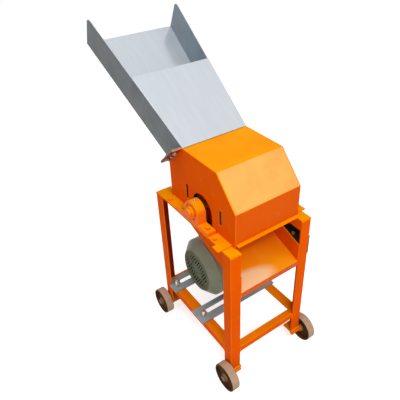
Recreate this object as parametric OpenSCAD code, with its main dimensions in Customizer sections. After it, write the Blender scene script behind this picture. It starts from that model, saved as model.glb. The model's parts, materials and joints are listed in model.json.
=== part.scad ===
// Chaff cutter. A knife rotor turns under a hinged hood on a wheeled angle-iron frame.
// Stalks slide down an inclined tray into the hood, and the cut chaff leaves by a sloping chute.
// X runs along the rotor shaft, -Y is the discharge side, and the floor is Z = 0.

/* [Frame] */
// Outer width over the legs, along the rotor shaft
frame_w = 330; // [324:1:340]
// Outer depth over the legs, along the feed direction
frame_d = 440; // [432:1:456]
// Height of the top rails above the floor
frame_top = 604; // [596:1:616]
// Flange width of the angle iron in the legs and top rails
leg_w = 40; // [39:0.5:41]
// Thickness of the angle iron
angle_t = 4; // [3:0.5:5]
// Height of the top face of the bottom rails
bottom_rail_top = 164; // [150:1:180]
// Width of the horizontal flange of the side bottom rails
bottom_rail_w = 38; // [34:1:42]
// Height of the vertical flange of the side bottom rails
bottom_rail_h = 27; // [22:1:34]
// Width of the horizontal flange of the front and back ties
tie_w = 28; // [24:1:34]
// Height of the vertical flange of the front and back ties
tie_h = 24; // [20:1:32]

/* [Wheels] */
// Radius of the wheels
wheel_r = 53; // [48:1:56]
// Width of the wheel tread
wheel_w = 32; // [28:1:36]
// Radius of the wheel hub
wheel_hub_r = 15; // [12:1:18]
// Depth of the recess in each wheel face
wheel_recess = 9; // [6:1:12]
// Wall between the recess and the tread
wheel_rim = 8; // [6:1:11]
// Radius of the axle bars
axle_r = 8; // [6:0.5:9]
// Distance of the axles from the middle of the frame
axle_y = 222; // [214:1:226]
// Length of the foot plates along the axle
foot_len = 42; // [41:1:50]
// Width of the foot plates
foot_w = 46; // [44:1:56]
// Thickness of the foot plates
foot_t = 5; // [4:0.5:8]

/* [Rotor] */
// Distance of the shaft from the middle of the frame, towards the feed side
rotor_y = -10; // [-13:1:-6]
// Height of the shaft above the top rails
bearing_h = 46; // [44:1:50]
// Radius of the rotor shaft
shaft_r = 15; // [12:0.5:17]
// Half side of the square knife carriers
carrier_half = 70; // [60:1:72]
// Thickness of each knife carrier
carrier_t = 20; // [14:1:26]
// Distance of the outer carriers from the knife ends
carrier_inset = 27; // [22:1:40]
// Gap between the knife ends and the hood plates
knife_gap = 13.5; // [10:0.5:18]
// Reach of the knife edge past the middle of its carrier side
knife_reach = 84; // [76:1:86]
// Reach of the knife's back edge on the other side
knife_back = 34; // [28:1:44]
// Thickness of the knives
knife_t = 6; // [4:0.5:8]

/* [Bearings] */
// Length of the pillow block foot
block_len = 180; // [172:1:182]
// Width of the pillow blocks along the shaft
block_w = 33; // [26:1:34]
// Thickness of the pillow block foot
block_foot_t = 15; // [12:1:18]
// Outer radius of the pillow block housing
block_r = 38; // [36:0.5:40]
// Radius of the bearing insert in the housing
insert_r = 29; // [26:0.5:31]
// Distance between the pillow block bolts
block_bolts = 138; // [128:1:144]

/* [Hood] */
// How far the hood plates stand in on the top rails
hood_seat = 3.5; // [3:0.25:5]
// Thickness of the hood sheet
hood_t = 3; // [2:0.25:3.5]
// Front face of the hood, in front of the middle of the frame
hood_front = 195; // [190:1:200]
// Back face of the hood, behind the middle of the frame
hood_back = 168; // [164:1:170]
// Height of the hood above the top rails
hood_h = 226; // [218:1:234]
// Height of the vertical front face above the top rails
hood_front_h = 126; // [116:1:136]
// Height of the back face above the top rails
hood_back_h = 138; // [132:1:144]
// Where the roof starts at the front
roof_front = 105; // [98:1:112]
// Where the roof ends at the inlet
roof_back = 77; // [72:1:82]
// Gap under the front face
front_gap = 11; // [8:1:14]
// Depth of the lip along the bottom of the front face
front_lip = 13; // [10:1:16]
// Half width of the cut-outs round the shaft
cutout_half = 54; // [50:1:56]
// Distance of the cut-outs in front of the shaft
cutout_shift = 12; // [8:1:14]
// Width of the narrow slots in the hood plates
slot_w = 12.5; // [9:0.5:15]
// Height of the lower end of the slots above the top rails
slot_up = 43; // [38:1:48]
// Distance of one slot from the shaft, towards the discharge
slot_front = 110; // [104:1:116]
// Distance of the other slot from the shaft, towards the feed
slot_back = 74; // [68:1:80]
// Height of the top of the shaft cut-out above the top rails
cutout_h = 103; // [98:1:108]
// Height of the narrow slots
slot_h = 56; // [46:1:62]
// Thickness of the tabs that rest on the top rails
tab_t = 4; // [3:0.5:5]
// Length of the tabs
tab_len = 72; // [64:1:74]
// Length of the lug on the front tabs
lug_len = 32; // [26:1:38]
// How far the lugs stand out past the rails
lug_out = 15; // [10:1:18]

/* [Hinge] */
// Distance of the hinge axis behind the hood
hinge_back = 16; // [14:0.5:18]
// Height of the hinge axis above the top rails
hinge_up = 12; // [11:0.5:14]
// Radius of the hinge knuckles
knuckle_r = 8; // [7:0.25:9]
// Radius of the hinge pins
hinge_pin_r = 4; // [3:0.25:5]
// Length of each hinge
hinge_len = 72; // [60:1:84]
// Thickness of the hinge leaves
leaf_t = 3; // [2.5:0.25:4]
// Height of the hood leaf above the hinge axis
leaf_h = 48; // [40:1:56]
// Distance between the two hinges
hinge_pitch = 150; // [130:1:164]

/* [Feed tray] */
// Slope of the tray
tray_slope = 32.5; // [31:0.25:34]
// Length of the tray floor
tray_len = 568; // [540:1:590]
// Height of the tray walls
tray_h = 110; // [106:1:112]
// Thickness of the tray sheet
tray_t = 2; // [1.5:0.25:3]
// Outward turn of each tray wall, in degrees
tray_flare = 5; // [3:0.25:6]
// Length of the cover plate
cover_len = 293; // [260:1:330]
// Rounding of the tray wall corners
tray_corner = 22; // [12:1:28]
// Thickness of each flange at the inlet
flange_t = 4; // [3:0.5:5]
// How far the flange ears stand out past the hood
flange_ear = 36; // [30:1:40]
// Length of the flange ears down the inlet
ear_len = 112; // [104:1:116]
// Where the ear on the drive side starts, below the roof
ear_cut = 48; // [40:1:52]
// Where the flanges start below the roof, under the tray cover
flange_drop = 12; // [10:1:16]
// Space between the knife circle and the counter-knife
cut_gap = 4; // [3:0.5:8]

/* [Chute] */
// Slope of the chute floor
chute_slope = 20.5; // [19:0.25:21.5]
// Height of the chute floor at its front edge
chute_front_z = 434; // [426:1:440]
// Height of the chute walls above the floor
chute_wall = 70; // [60:1:76]
// Thickness of the chute sheet
chute_t = 3; // [2:0.25:4]
// Depth of the folded lip at the front edge
chute_lip = 22; // [16:1:28]
// Distance of the chute's back wall in front of the back of the hood
chute_inset = 10; // [9:0.5:14]
// How far the chute's back wall stands up inside the hood
chute_up = 7; // [5:0.5:8]

/* [Motor] */
// Distance of the motor axis from the feed side of the frame
motor_inset = 143; // [138:1:148]
// Height of the motor axis above its rails
motor_h = 121; // [119:1:124]
// Gap between the motor's drive end and the drive side of the frame
motor_drive = 25; // [20:1:30]
// Outer radius of the fan cover
fan_cover_r = 116; // [112:1:117]
// Length of the fan cover
fan_cover_len = 84; // [76:1:92]
// Radius of the flat face of the fan cover
fan_face_r = 83; // [81:1:86]
// Length of the cone from the face to the barrel of the fan cover
fan_cone = 35; // [30:1:40]
// Radius of the grille in the fan cover
grille_r = 79; // [76:1:80]
// Turn of the grille slots about the motor axis, in degrees
grille_turn = -58; // [-70:1:-40]
// Outer radius of the stator housing
stator_r = 100; // [96:1:102]
// Length of the stator housing
stator_len = 122; // [112:1:126]
// Length of each end shield
shield_len = 20; // [16:1:22]
// Height of the cooling fins on the stator
fin_h = 8; // [5:0.5:10]
// Radius of the motor shaft
motor_shaft_r = 14; // [11:0.5:16]
// Distance across the motor feet holes
feet_across = 191; // [188:1:194]
// Distance along the motor feet holes
feet_pitch = 90; // [80:1:96]
// Thickness of the motor feet
feet_t = 12; // [9:0.5:15]
// Length of each motor foot along the shaft
feet_len = 34; // [28:1:38]
// Distance from the foot holes to the outer edge of the feet
feet_edge = 18; // [15:1:20]
// Width of the flat pad of each foot
feet_pad = 30; // [26:1:32]
// Depth of the top of the feet under the motor axis
feet_drop = 30; // [26:1:36]
// Gap between the grille and the fan
fan_inset = 18; // [14:1:22]
// Length of the fan along the shaft
fan_len = 34; // [28:1:38]
// Gap between the fan blades and the fan cover
fan_gap = 32; // [28:1:36]

/* [Motor rails] */
// Thickness of the motor rails
motor_rail_t = 5; // [4:0.5:6]
// Overhang of the motor rails past the frame
motor_rail_over = 8; // [4:1:12]
// Width of the motor rails on the discharge side of their slot
motor_rail_front = 42; // [38:1:48]
// Width of the motor rails on the feed side of their slot
motor_rail_back = 32; // [28:1:36]
// Distance of the rail bolts from the outer sides of the frame
rail_bolt_inset = 14.5; // [14:0.5:17]
// Width of the motor slots
motor_slot_w = 20; // [17:1:22]
// Length of the motor slots
motor_slot_len = 280; // [264:1:284]

/* [Belt drive] */
// Left face of both pulleys, past the right side of the frame
pulley_gap = 9; // [8:0.5:10]
// Width of the pulleys
pulley_w = 24; // [20:1:24]
// Groove radius of the rotor pulley
rotor_groove_r = 72; // [64:1:74]
// Groove radius of the motor pulley
motor_groove_r = 36; // [30:1:38]
// Depth of the pulley grooves
groove_depth = 10; // [9:0.5:11]
// Width of the belt
belt_w = 11; // [9:0.5:13]
// Thickness of the belt
belt_t = 8; // [6:0.5:8.5]
// Thickness of the guard sheet
guard_t = 2; // [1.5:0.25:3]
// Free space round the pulleys inside the guard
guard_space = 7; // [5:1:8]
// Height of the strap that carries the guard
strap_h = 76; // [70:1:80]
// Height of the strap's lower edge above the floor
strap_z = 448; // [440:1:456]
// Thickness of the strap
strap_t = 4; // [3:0.5:5]
// Distance of the single bolt in the strap from the discharge side of the frame
clip_inset = 68; // [64:1:74]
// Height of the single bolt above the strap's lower edge
clip_up = 46; // [40:1:52]

/* [Fasteners] */
// Shank radius of the small bolts
bolt_r = 4; // [3:0.25:4.5]
// Shank radius of the large bolts
big_bolt_r = 5; // [4.5:0.25:6]
// How far the motor rail bolts stand up above their nuts
stud_up = 20; // [14:1:26]
// Thickness of the wide washers under the motor rails
washer_t = 4; // [3:0.5:5]
// Radius of the wide washers under the motor rails
washer_r = 14.5; // [12:0.5:16]

/* [Clearances] */
// Radial clearance of turning shafts
run_gap = 0.06; // [0.03:0.01:0.08]
// Side clearance of turning parts
side_gap = 0.5; // [0.4:0.1:0.8]

/* [Hidden] */
$fn = 96;
eps = 0.01;
// Half sizes of the frame and of what fits between its legs
half_w = frame_w / 2;
half_d = frame_d / 2;
bay_half = half_w - leg_w;
hood_half = bay_half + hood_seat;
// Heights that follow from the wheels and rails
axle_z = wheel_r;
foot_top = axle_z + axle_r + foot_t - 1;
rotor_z = frame_top + bearing_h;
motor_rail_top = bottom_rail_top + motor_rail_t;
motor_z = motor_rail_top + motor_h;
motor_y = half_d - motor_inset;
// Hood outline corners, measured from the frame
hood_top = frame_top + hood_h;
front_top = frame_top + hood_front_h;
back_top = frame_top + hood_back_h;
front_bottom = frame_top + front_gap;
// Inlet plane and tray
inlet_run = hood_back - roof_back;
inlet_drop = hood_top - back_top;
inlet_tilt = atan2(inlet_drop, inlet_run);
inlet_len = norm([inlet_run, inlet_drop]);
tray_y = roof_back + 2 * flange_t * sin(inlet_tilt);
tray_z = hood_top + 2 * flange_t * cos(inlet_tilt);
lean = inlet_tilt + tray_slope;
tray_start = tray_h / tan(lean);
cover_lap = (2 * flange_t * cos(inlet_tilt) - 1) / sin(tray_slope);
tray_wall_half = hood_half;
tray_under = tray_h + tray_t;
tray_end_half = tray_wall_half + tray_len * tan(tray_flare);
cover_end_half = tray_wall_half + cover_len * tan(tray_flare);
// Overall depth, and the shift that puts the origin under the middle of it
front_end = -axle_y - wheel_r;
back_end = tray_y + tray_len * cos(tray_slope) + tray_under * sin(tray_slope);
shift_y = -(front_end + back_end) / 2;
// Hinge axis
hinge_y = hood_back + hinge_back;
hinge_z = frame_top + hinge_up;
// Wheels between the leg collars and the axle nuts
collar_t = 2.5;
wheel_in = half_w + collar_t + side_gap;
wheel_out = wheel_in + wheel_w;
nut_t = 4;
axle_end = wheel_out + side_gap + nut_t;
axle_in = half_w - foot_len + 4;
// Rotor and cutting circle
knife_r = norm([carrier_half + knife_t, knife_reach]);
knife_len = 2 * (hood_half - hood_t - knife_gap);
carrier_pitch = knife_len / 2 - carrier_inset;
shaft_left = half_w + 13;
insert_in = 4;
race_out = 7;
race_t = 6;
block_mid = half_w - 1 - block_w / 2;
pulley_left = half_w + pulley_gap;
pulley_right = pulley_left + pulley_w;
pulley_mid = pulley_left + pulley_w / 2;
belt_gap = 0.4;
belt_dy = motor_y - rotor_y;
belt_dz = motor_z - rotor_z;
belt_len = norm([belt_dy, belt_dz]);
belt_turn = atan2(belt_dz, belt_dy);
guard_out = pulley_right + side_gap + 3;
strap_out = half_w + strap_t;
// Chute
chute_half = bay_half;
chute_rise = tan(chute_slope);
chute_back = hood_back - chute_inset;
chute_back_z = chute_front_z + (chute_back + half_d) * chute_rise;
// Motor along its axis
motor_len = fan_cover_len + stator_len + 2 * shield_len;
motor_left = motor_len + motor_drive - half_w;
fan_right = -motor_left + fan_cover_len;
stator_left = fan_right + shield_len;
stator_right = stator_left + stator_len;
shield_right = stator_right + shield_len;
grille_hub = 27;
grille_slot_w = 5;
stator_bore = 62;
core_gap = 0.6;
feet_mid = (stator_left + stator_right) / 2;
// Terminal box and its lid
box_half = 38;
box_side = 34;
box_up = 34;
box_wall = 4;
lid_over = 3;
lid_t = 5;
// Bolt heads
head_h = 6;
bolt_hole_gap = 0.4;

// Moves a node from the frame's own middle to the origin of the whole machine.
module placed() {
    translate([0, shift_y, 0]) children();
}
// Sheet or bar cut to a Y-Z outline, from x0 to x0 + t.
module slab_x(x0, t) {
    translate([x0, 0, 0]) rotate([90, 0, 90]) linear_extrude(t) children();
}
// Box between two corners.
module block(lo, hi) {
    translate(lo) cube(hi - lo);
}
// Round bar along X.
module bar_x(x0, x1, y, z, r) {
    translate([x0, y, z]) rotate([0, 90, 0]) cylinder(r = r, h = x1 - x0);
}
// Children moved onto the inlet plane: X across, Y down the plane, Z out of the hood.
module on_inlet() {
    translate([0, roof_back, hood_top]) rotate([-inlet_tilt, 0, 0]) children();
}
// Children moved into the tray: X across, Y up the slope, Z out of the floor, Z = 0 at the wall tops.
module on_tray() {
    translate([0, tray_y, tray_z]) rotate([tray_slope, 0, 0]) children();
}
// Hexagon bolt standing on Z = 0 with its shank below.
module hex_bolt(r, shank) {
    cylinder(r = 1.8 * r, h = head_h, $fn = 6);
    translate([0, 0, -shank]) cylinder(r = r, h = shank + eps, $fn = 24);
}
// Hole for a bolt of radius r, through t of material under Z = 0.
module bolt_hole(r, t) {
    translate([0, 0, -t - 1]) cylinder(r = r + bolt_hole_gap, h = t + 2, $fn = 24);
}

// Angle-iron leg with its corner outward, on side sx (left -1) and sy (front -1).
module leg(sx, sy) {
    top = frame_top - angle_t;
    placed() difference() {
        color("darkorange") scale([sx, sy, 1]) translate([half_w, half_d, foot_top]) mirror([1, 1, 0])
            linear_extrude(top - foot_top)
                polygon([[0, 0], [leg_w, 0], [leg_w, angle_t], [angle_t, angle_t], [angle_t, leg_w],
                    [0, leg_w]]);
        strap_bolt_places() rotate([0, 90, 0]) bolt_hole(bolt_r, 2 * strap_t);
    }
}
// The four bolts that hold the guard strap to the right-hand legs.
module strap_bolt_places() {
    for (sy = [-1, 1], dz = [-1, 1])
        translate([strap_out, sy * (half_d - leg_w / 2),
            strap_z + strap_h / 2 + dz * strap_h / 4]) children();
}
module leg_front_left() leg(-1, -1);
module leg_front_right() leg(1, -1);
module leg_back_left() leg(-1, 1);
module leg_back_right() leg(1, 1);

// Top rail: flat flange over the leg tops, and an inner flange that hangs between the legs.
module top_rail(sx) {
    color("darkorange") placed() difference() {
        scale([sx, 1, 1]) union() {
            block([bay_half, -half_d, frame_top - angle_t], [half_w, half_d, frame_top]);
            block([bay_half, -half_d + angle_t, frame_top - leg_w],
                [bay_half + angle_t, half_d - angle_t, frame_top - angle_t]);
        }
        block_bolt_places() bolt_hole(big_bolt_r, block_foot_t + 2 * angle_t);
        screw_places() bolt_hole(bolt_r + 1, tab_t + 2 * angle_t);
    }
}
module top_rail_left() top_rail(-1);
module top_rail_right() top_rail(1);
// The tie between the back legs that carries the hinges.
module top_tie_back() {
    color("darkorange") placed() {
        block([-bay_half, half_d - leg_w, frame_top - angle_t], [bay_half, half_d, frame_top]);
        block([-bay_half, half_d - angle_t, frame_top - leg_w], [bay_half, half_d, frame_top - angle_t]);
    }
}
// Side bottom rail between the legs, its flat flange inward and run on into the leg corners.
module bottom_rail(sx) {
    reach = half_d - leg_w;
    corner = half_d - angle_t - side_gap;
    color("darkorange") placed() difference() {
        scale([sx, 1, 1]) union() {
            block([half_w - bottom_rail_w, -reach, bottom_rail_top - angle_t],
                [half_w, reach, bottom_rail_top]);
            block([half_w - bottom_rail_w, -corner, bottom_rail_top - angle_t],
                [half_w - angle_t - side_gap, corner, bottom_rail_top]);
            block([half_w - angle_t, -reach, bottom_rail_top - bottom_rail_h],
                [half_w, reach, bottom_rail_top - angle_t]);
        }
        rail_bolt_places() bolt_hole(big_bolt_r, 3 * motor_rail_t);
    }
}
module bottom_rail_left() bottom_rail(-1);
module bottom_rail_right() bottom_rail(1);
// Front or back tie between the leg feet.
module bottom_tie(sy) {
    color("darkorange") placed() scale([1, sy, 1]) {
        block([-bay_half, half_d - tie_w, bottom_rail_top - angle_t], [bay_half, half_d, bottom_rail_top]);
        block([-bay_half, half_d - angle_t, bottom_rail_top - tie_h],
            [bay_half, half_d, bottom_rail_top - angle_t]);
    }
}
module bottom_tie_front() bottom_tie(-1);
module bottom_tie_back() bottom_tie(1);

// Children repeated at the four corners, mirrored so that +X is outward.
module corners() {
    for (sx = [-1, 1], sy = [-1, 1]) scale([sx, 1, 1]) translate([0, sy * axle_y, 0]) children();
}
// Foot plates under the legs, each with its axle bar and thrust collar.
module axle_feet() {
    color("orange") placed() for (sx = [-1, 1], sy = [-1, 1]) scale([sx, sy, 1]) {
        block([half_w - foot_len, half_d - foot_w + 6, foot_top - foot_t], [half_w, half_d + 6, foot_top]);
        bar_x(axle_in, axle_end - nut_t, axle_y, axle_z, axle_r);
        bar_x(half_w, half_w + collar_t, axle_y, axle_z, axle_r + 4);
        block([axle_in + 2, axle_y - axle_r + 2, axle_z],
            [half_w, axle_y + axle_r - 2, foot_top - foot_t + eps]);
    }
}
// Nuts that keep the wheels on.
module axle_nuts() {
    color("gray") placed() corners() difference() {
        bar_x(axle_end - nut_t, axle_end, 0, axle_z, axle_r + 4, $fn = 6);
    }
}
// Wheel with a recess round the hub on both faces.
module wheel(sx, sy) {
    color("tan") placed() scale([sx, 1, 1]) translate([0, sy * axle_y, axle_z]) difference() {
        bar_x(wheel_in, wheel_out, 0, 0, wheel_r);
        bar_x(wheel_in - 1, wheel_out + 1, 0, 0, axle_r + run_gap);
        for (x = [wheel_in - 1, wheel_out - wheel_recess]) difference() {
            bar_x(x, x + wheel_recess + 1, 0, 0, wheel_r - wheel_rim);
            bar_x(x - 1, x + wheel_recess + 2, 0, 0, wheel_hub_r);
        }
    }
}
module wheel_front_left() wheel(-1, -1);
module wheel_front_right() wheel(1, -1);
module wheel_back_left() wheel(-1, 1);
module wheel_back_right() wheel(1, 1);

// Motor rail: slotted flat bar across the bottom rails.
module motor_rail(sy) {
    y = motor_y + sy * feet_across / 2;
    end = half_w + motor_rail_over;
    color("slategray") placed() difference() {
        block([-end, y - motor_rail_front, bottom_rail_top],
            [end, y + motor_rail_back, motor_rail_top]);
        translate([0, y, bottom_rail_top - 1]) linear_extrude(motor_rail_t + 2) motor_slot();
        // Notches round the feed-side legs
        for (sx = [-1, 1]) scale([sx, 1, 1])
            block([half_w - angle_t - side_gap, half_d - leg_w - side_gap, bottom_rail_top - 1],
                [end + 1, half_d + 1, motor_rail_top + 1]);
        rail_bolt_places() bolt_hole(big_bolt_r, 2 * motor_rail_t);
    }
}
// Round-ended slot along X.
module motor_slot() {
    reach = motor_slot_len / 2 - motor_slot_w / 2;
    square([2 * reach, motor_slot_w], center = true);
    for (s = [-1, 1]) translate([s * reach, 0]) circle(d = motor_slot_w);
}
module motor_rail_front_bar() motor_rail(-1);
module motor_rail_back_bar() motor_rail(1);
// The places where the motor rails are bolted to the bottom rails.
module rail_bolt_places() {
    for (sx = [-1, 1], sy = [-1, 1])
        translate([sx * (half_w - rail_bolt_inset), motor_y + sy * feet_across / 2 - 12,
            motor_rail_top]) children();
}
// Bolts with the head below, a nut above and the thread standing up.
module rail_bolts() {
    color("silver") placed() rail_bolt_places() {
        cylinder(r = 1.8 * big_bolt_r, h = head_h + 2, $fn = 6);
        translate([0, 0, -motor_rail_t - angle_t - head_h])
            cylinder(r = big_bolt_r, h = motor_rail_t + angle_t + 2 * head_h + stud_up, $fn = 24);
        translate([0, 0, -motor_rail_t - angle_t - head_h]) cylinder(r = 1.8 * big_bolt_r,
            h = head_h, $fn = 6);
    }
}

// Children on the motor axis.
module on_motor() {
    placed() translate([0, motor_y, motor_z]) children();
}
// Ring along X between two radii.
module ring_x(x0, x1, outer, inner) {
    difference() {
        bar_x(x0, x1, 0, 0, outer);
        bar_x(x0 - 1, x1 + 1, 0, 0, inner);
    }
}
// Stator housing with cooling fins along the shaft.
module motor_stator() {
    fins = 24;
    fin_w = 3;
    root = 1;
    color("darkolivegreen") on_motor() slab_x(stator_left, stator_right - stator_left) difference() {
        union() {
            circle(r = stator_r);
            for (i = [0 : fins - 1])
                if (abs((i + 0.5) * 360 / fins - 270) > 58 && abs((i + 0.5) * 360 / fins - 90) > 26)
                    rotate((i + 0.5) * 360 / fins) translate([stator_r - root, -fin_w / 2])
                        square([root + fin_h, fin_w]);
        }
        circle(r = stator_bore);
    }
}
// Cast feet under the stator.
module motor_feet() {
    bottom = -motor_h;
    outer = feet_across / 2 + feet_edge;
    pad = outer - feet_pad;
    web = pad - feet_t;
    color("darkolivegreen") on_motor() difference() {
        for (sx = [-1, 1]) translate([feet_mid + sx * feet_pitch / 2 - feet_len / 2, 0, 0])
            rotate([90, 0, 90]) linear_extrude(feet_len) difference() {
                polygon([[-outer, bottom], [outer, bottom], [outer, bottom + feet_t],
                    [pad, bottom + feet_t],
                    [web, -feet_drop], [-web, -feet_drop], [-pad, bottom + feet_t],
                        [-outer, bottom + feet_t]]);
                circle(r = stator_r);
                square([1.1 * stator_r, 2.6 * motor_h], center = true);
            }
        motor_bolt_places() bolt_hole(big_bolt_r, feet_t);
    }
}
// Foot bolt places, on the motor axis frame.
module motor_bolt_places() {
    for (sx = [-1, 1], sy = [-1, 1])
        translate([feet_mid + sx * feet_pitch / 2, sy * feet_across / 2, feet_t - motor_h]) children();
}
// Foot bolts through the slots, with a wide washer below.
module motor_bolts() {
    deep = feet_t + motor_rail_t;
    color("silver") on_motor() motor_bolt_places() {
        hex_bolt(big_bolt_r, deep + washer_t + head_h + 2);
        translate([0, 0, -deep - washer_t]) cylinder(r = washer_r, h = washer_t);
        translate([0, 0, -deep - washer_t - head_h]) cylinder(r = 1.8 * big_bolt_r,
            h = head_h + eps, $fn = 6);
    }
}
// End shield with the shaft bore.
module shield(x0) {
    color("darkolivegreen") on_motor() ring_x(x0, x0 + shield_len, stator_r, motor_shaft_r + run_gap);
}
module motor_shield_drive() shield(stator_right);
module motor_shield_fan() shield(fan_right);
// Fan cover: a cone that opens into a barrel over the fan, with a slotted grille in its face
// and a ring inside its open end that seats it on the end shield.
module fan_cover() {
    wall = 2.5;
    step = 2;
    seat = 8;
    seat_share = 0.7;
    rows = 6;
    shell = [[0, 0], [grille_r, 0], [grille_r, step], [fan_face_r, step], [fan_cover_r, fan_cone],
        [fan_cover_r, fan_cover_len], [seat_share * stator_r, fan_cover_len],
        [seat_share * stator_r, fan_cover_len - seat], [fan_cover_r - wall, fan_cover_len - seat],
        [fan_cover_r - wall, fan_cone + wall], [fan_face_r - wall, step + wall], [0, step + wall]];
    color("darkolivegreen") on_motor() difference() {
        translate([-motor_left, 0, 0]) rotate([0, 90, 0]) rotate_extrude() polygon(shell);
        rotate([grille_turn, 0, 0])
            for (i = [-rows : rows]) grille_row(i * grille_r / (rows + 1), 0.9 * grille_r);
        for (i = [0 : 9]) rotate([i * 36, 0, 0]) grille_slot(grille_hub / 3, grille_hub - 5, 0);
    }
}
// One row of slots in the grille at height z, parted at the middle by the hub.
module grille_row(z, reach) {
    half = sqrt(reach * reach - z * z) - 4;
    parting = max(sqrt(max(grille_hub * grille_hub - z * z, 0)), 4);
    grille_slot(parting, half, z);
    grille_slot(-half, -parting, z);
}
// One slot through the grille from y0 to y1.
module grille_slot(y0, y1, z) {
    block([-motor_left - 1, y0, z - grille_slot_w / 2], [-motor_left + 6, y1, z + grille_slot_w / 2]);
}
// Terminal box on top of the stator and its lid.
module terminal_box() {
    color("darkolivegreen") on_motor() difference() {
        block([feet_mid - box_half, -box_side, 0], [feet_mid + box_half, box_side, stator_r + box_up]);
        bar_x(stator_left, stator_right, 0, 0, stator_r);
        block([feet_mid - box_half + box_wall, -box_side + box_wall, stator_r + 2 * box_wall],
            [feet_mid + box_half - box_wall, box_side - box_wall, stator_r + box_up + box_wall]);
        block([feet_mid - 2 * box_half, -2 * box_side, -1],
            [feet_mid + 2 * box_half, 2 * box_side, 0.6 * stator_r]);
    }
}
module terminal_lid() {
    lid_half = box_half + lid_over;
    lid_side = box_side + lid_over;
    color("darkolivegreen") on_motor() block([feet_mid - lid_half, -lid_side, stator_r + box_up],
        [feet_mid + lid_half, lid_side, stator_r + box_up + lid_t]);
}
// Motor shaft with the rotor core inside the stator.
module motor_shaft() {
    color("silver") on_motor() {
        bar_x(-motor_left + fan_inset + 6, pulley_right, 0, 0, motor_shaft_r);
        bar_x(stator_left + side_gap, stator_right - side_gap, 0, 0, stator_bore - core_gap);
    }
}
// Cooling fan inside the cover.
module motor_fan() {
    blades = 7;
    blade_t = 3;
    left = -motor_left + fan_inset;
    right = left + fan_len;
    tip = fan_cover_r - fan_gap;
    hub = motor_shaft_r + 2 * blade_t;
    color("dimgray") on_motor() {
        ring_x(left, right, hub, motor_shaft_r);
        ring_x(right - blade_t, right, tip, hub - 1);
        for (i = [0 : blades - 1]) rotate([i * 360 / blades, 0, 0])
            block([left, hub - 1, -blade_t / 2], [right - 1, tip, blade_t / 2]);
    }
}

// Pillow block with a full-length foot.
module bearing_block(sx) {
    color("orange") placed() difference() {
        scale([sx, 1, 1]) translate([block_mid - block_w / 2, rotor_y, 0]) rotate([90, 0, 90])
            linear_extrude(block_w) difference() {
                union() {
                    translate([-block_len / 2, frame_top]) square([block_len, block_foot_t]);
                    translate([0, rotor_z]) circle(r = block_r);
                    translate([-block_r, frame_top]) square([2 * block_r, bearing_h]);
                }
                translate([0, rotor_z]) circle(r = insert_r + run_gap);
            }
        block_bolt_places() bolt_hole(big_bolt_r, block_foot_t);
    }
}
module bearing_block_left() bearing_block(-1);
module bearing_block_right() bearing_block(1);
// The places of the pillow block bolts.
module block_bolt_places() {
    for (sx = [-1, 1], sy = [-1, 1])
        translate([sx * block_mid, rotor_y + sy * block_bolts / 2, frame_top + block_foot_t]) children();
}
module bearing_bolts() {
    deep = block_foot_t + angle_t;
    color("silver") placed() block_bolt_places() {
        hex_bolt(big_bolt_r, deep + 10);
        translate([0, 0, -deep - head_h]) cylinder(r = 1.8 * big_bolt_r, h = head_h, $fn = 6);
    }
}
// Rotor shaft with the bearing inserts on it.
module rotor_shaft() {
    color("silver") placed() {
        bar_x(-shaft_left, pulley_right, rotor_y, rotor_z, shaft_r);
        for (sx = [-1, 1]) bar_x(sx * block_mid - block_w / 2 + insert_in,
            sx * block_mid + block_w / 2 - insert_in, rotor_y, rotor_z, insert_r);
        bar_x(-block_mid - block_w / 2 - race_out, -block_mid, rotor_y, rotor_z, shaft_r + race_t);
    }
}
// Square carriers that hold the knives.
module knife_carriers() {
    color("orangered") placed() translate([0, rotor_y, rotor_z]) for (i = [-1 : 1]) difference() {
        translate([i * carrier_pitch, 0, 0]) cube([carrier_t, 2 * carrier_half, 2 * carrier_half],
            center = true);
        bar_x(i * carrier_pitch - carrier_t, i * carrier_pitch + carrier_t, 0, 0, shaft_r);
        knife_bolt_places() bolt_hole(bolt_r, carrier_half / 2);
    }
}
// The four knives, each flat on one side of the carriers with a bevelled edge.
module knives() {
    bevel = 14;
    color("silver") placed() translate([0, rotor_y, rotor_z]) difference() {
        for (k = [0 : 3]) rotate([k * 90, 0, 0]) slab_x(-knife_len / 2, knife_len)
            polygon([[-knife_back, carrier_half], [knife_reach - bevel, carrier_half],
                [knife_reach, carrier_half + knife_t - 1], [knife_reach, carrier_half + knife_t],
                [-knife_back, carrier_half + knife_t]]);
        knife_bolt_places() bolt_hole(bolt_r, knife_t);
    }
}
// Three bolts through each knife.
module knife_bolt_places() {
    for (k = [0 : 3], i = [-1 : 1]) rotate([k * 90, 0, 0])
        translate([i * carrier_pitch, 0, carrier_half + knife_t]) children();
}
module knife_bolts() {
    color("gray") placed() translate([0, rotor_y, rotor_z]) knife_bolt_places() hex_bolt(bolt_r,
        knife_t + 18);
}

// Chute floor with its folded front lip and back wall.
module chute_floor() {
    drop = chute_t / cos(chute_slope);
    top = frame_top + chute_up;
    bend = chute_t * chute_rise;
    color("orange") placed() slab_x(-chute_half + chute_t, 2 * (chute_half - chute_t))
        polygon([[-half_d, chute_front_z - chute_lip], [-half_d, chute_front_z],
            [chute_back - chute_t, chute_back_z - bend], [chute_back - chute_t, top], [chute_back, top],
            [chute_back, chute_back_z - drop], [chute_t - half_d, chute_front_z + bend - drop],
            [chute_t - half_d, chute_front_z - chute_lip]]);
}
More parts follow.
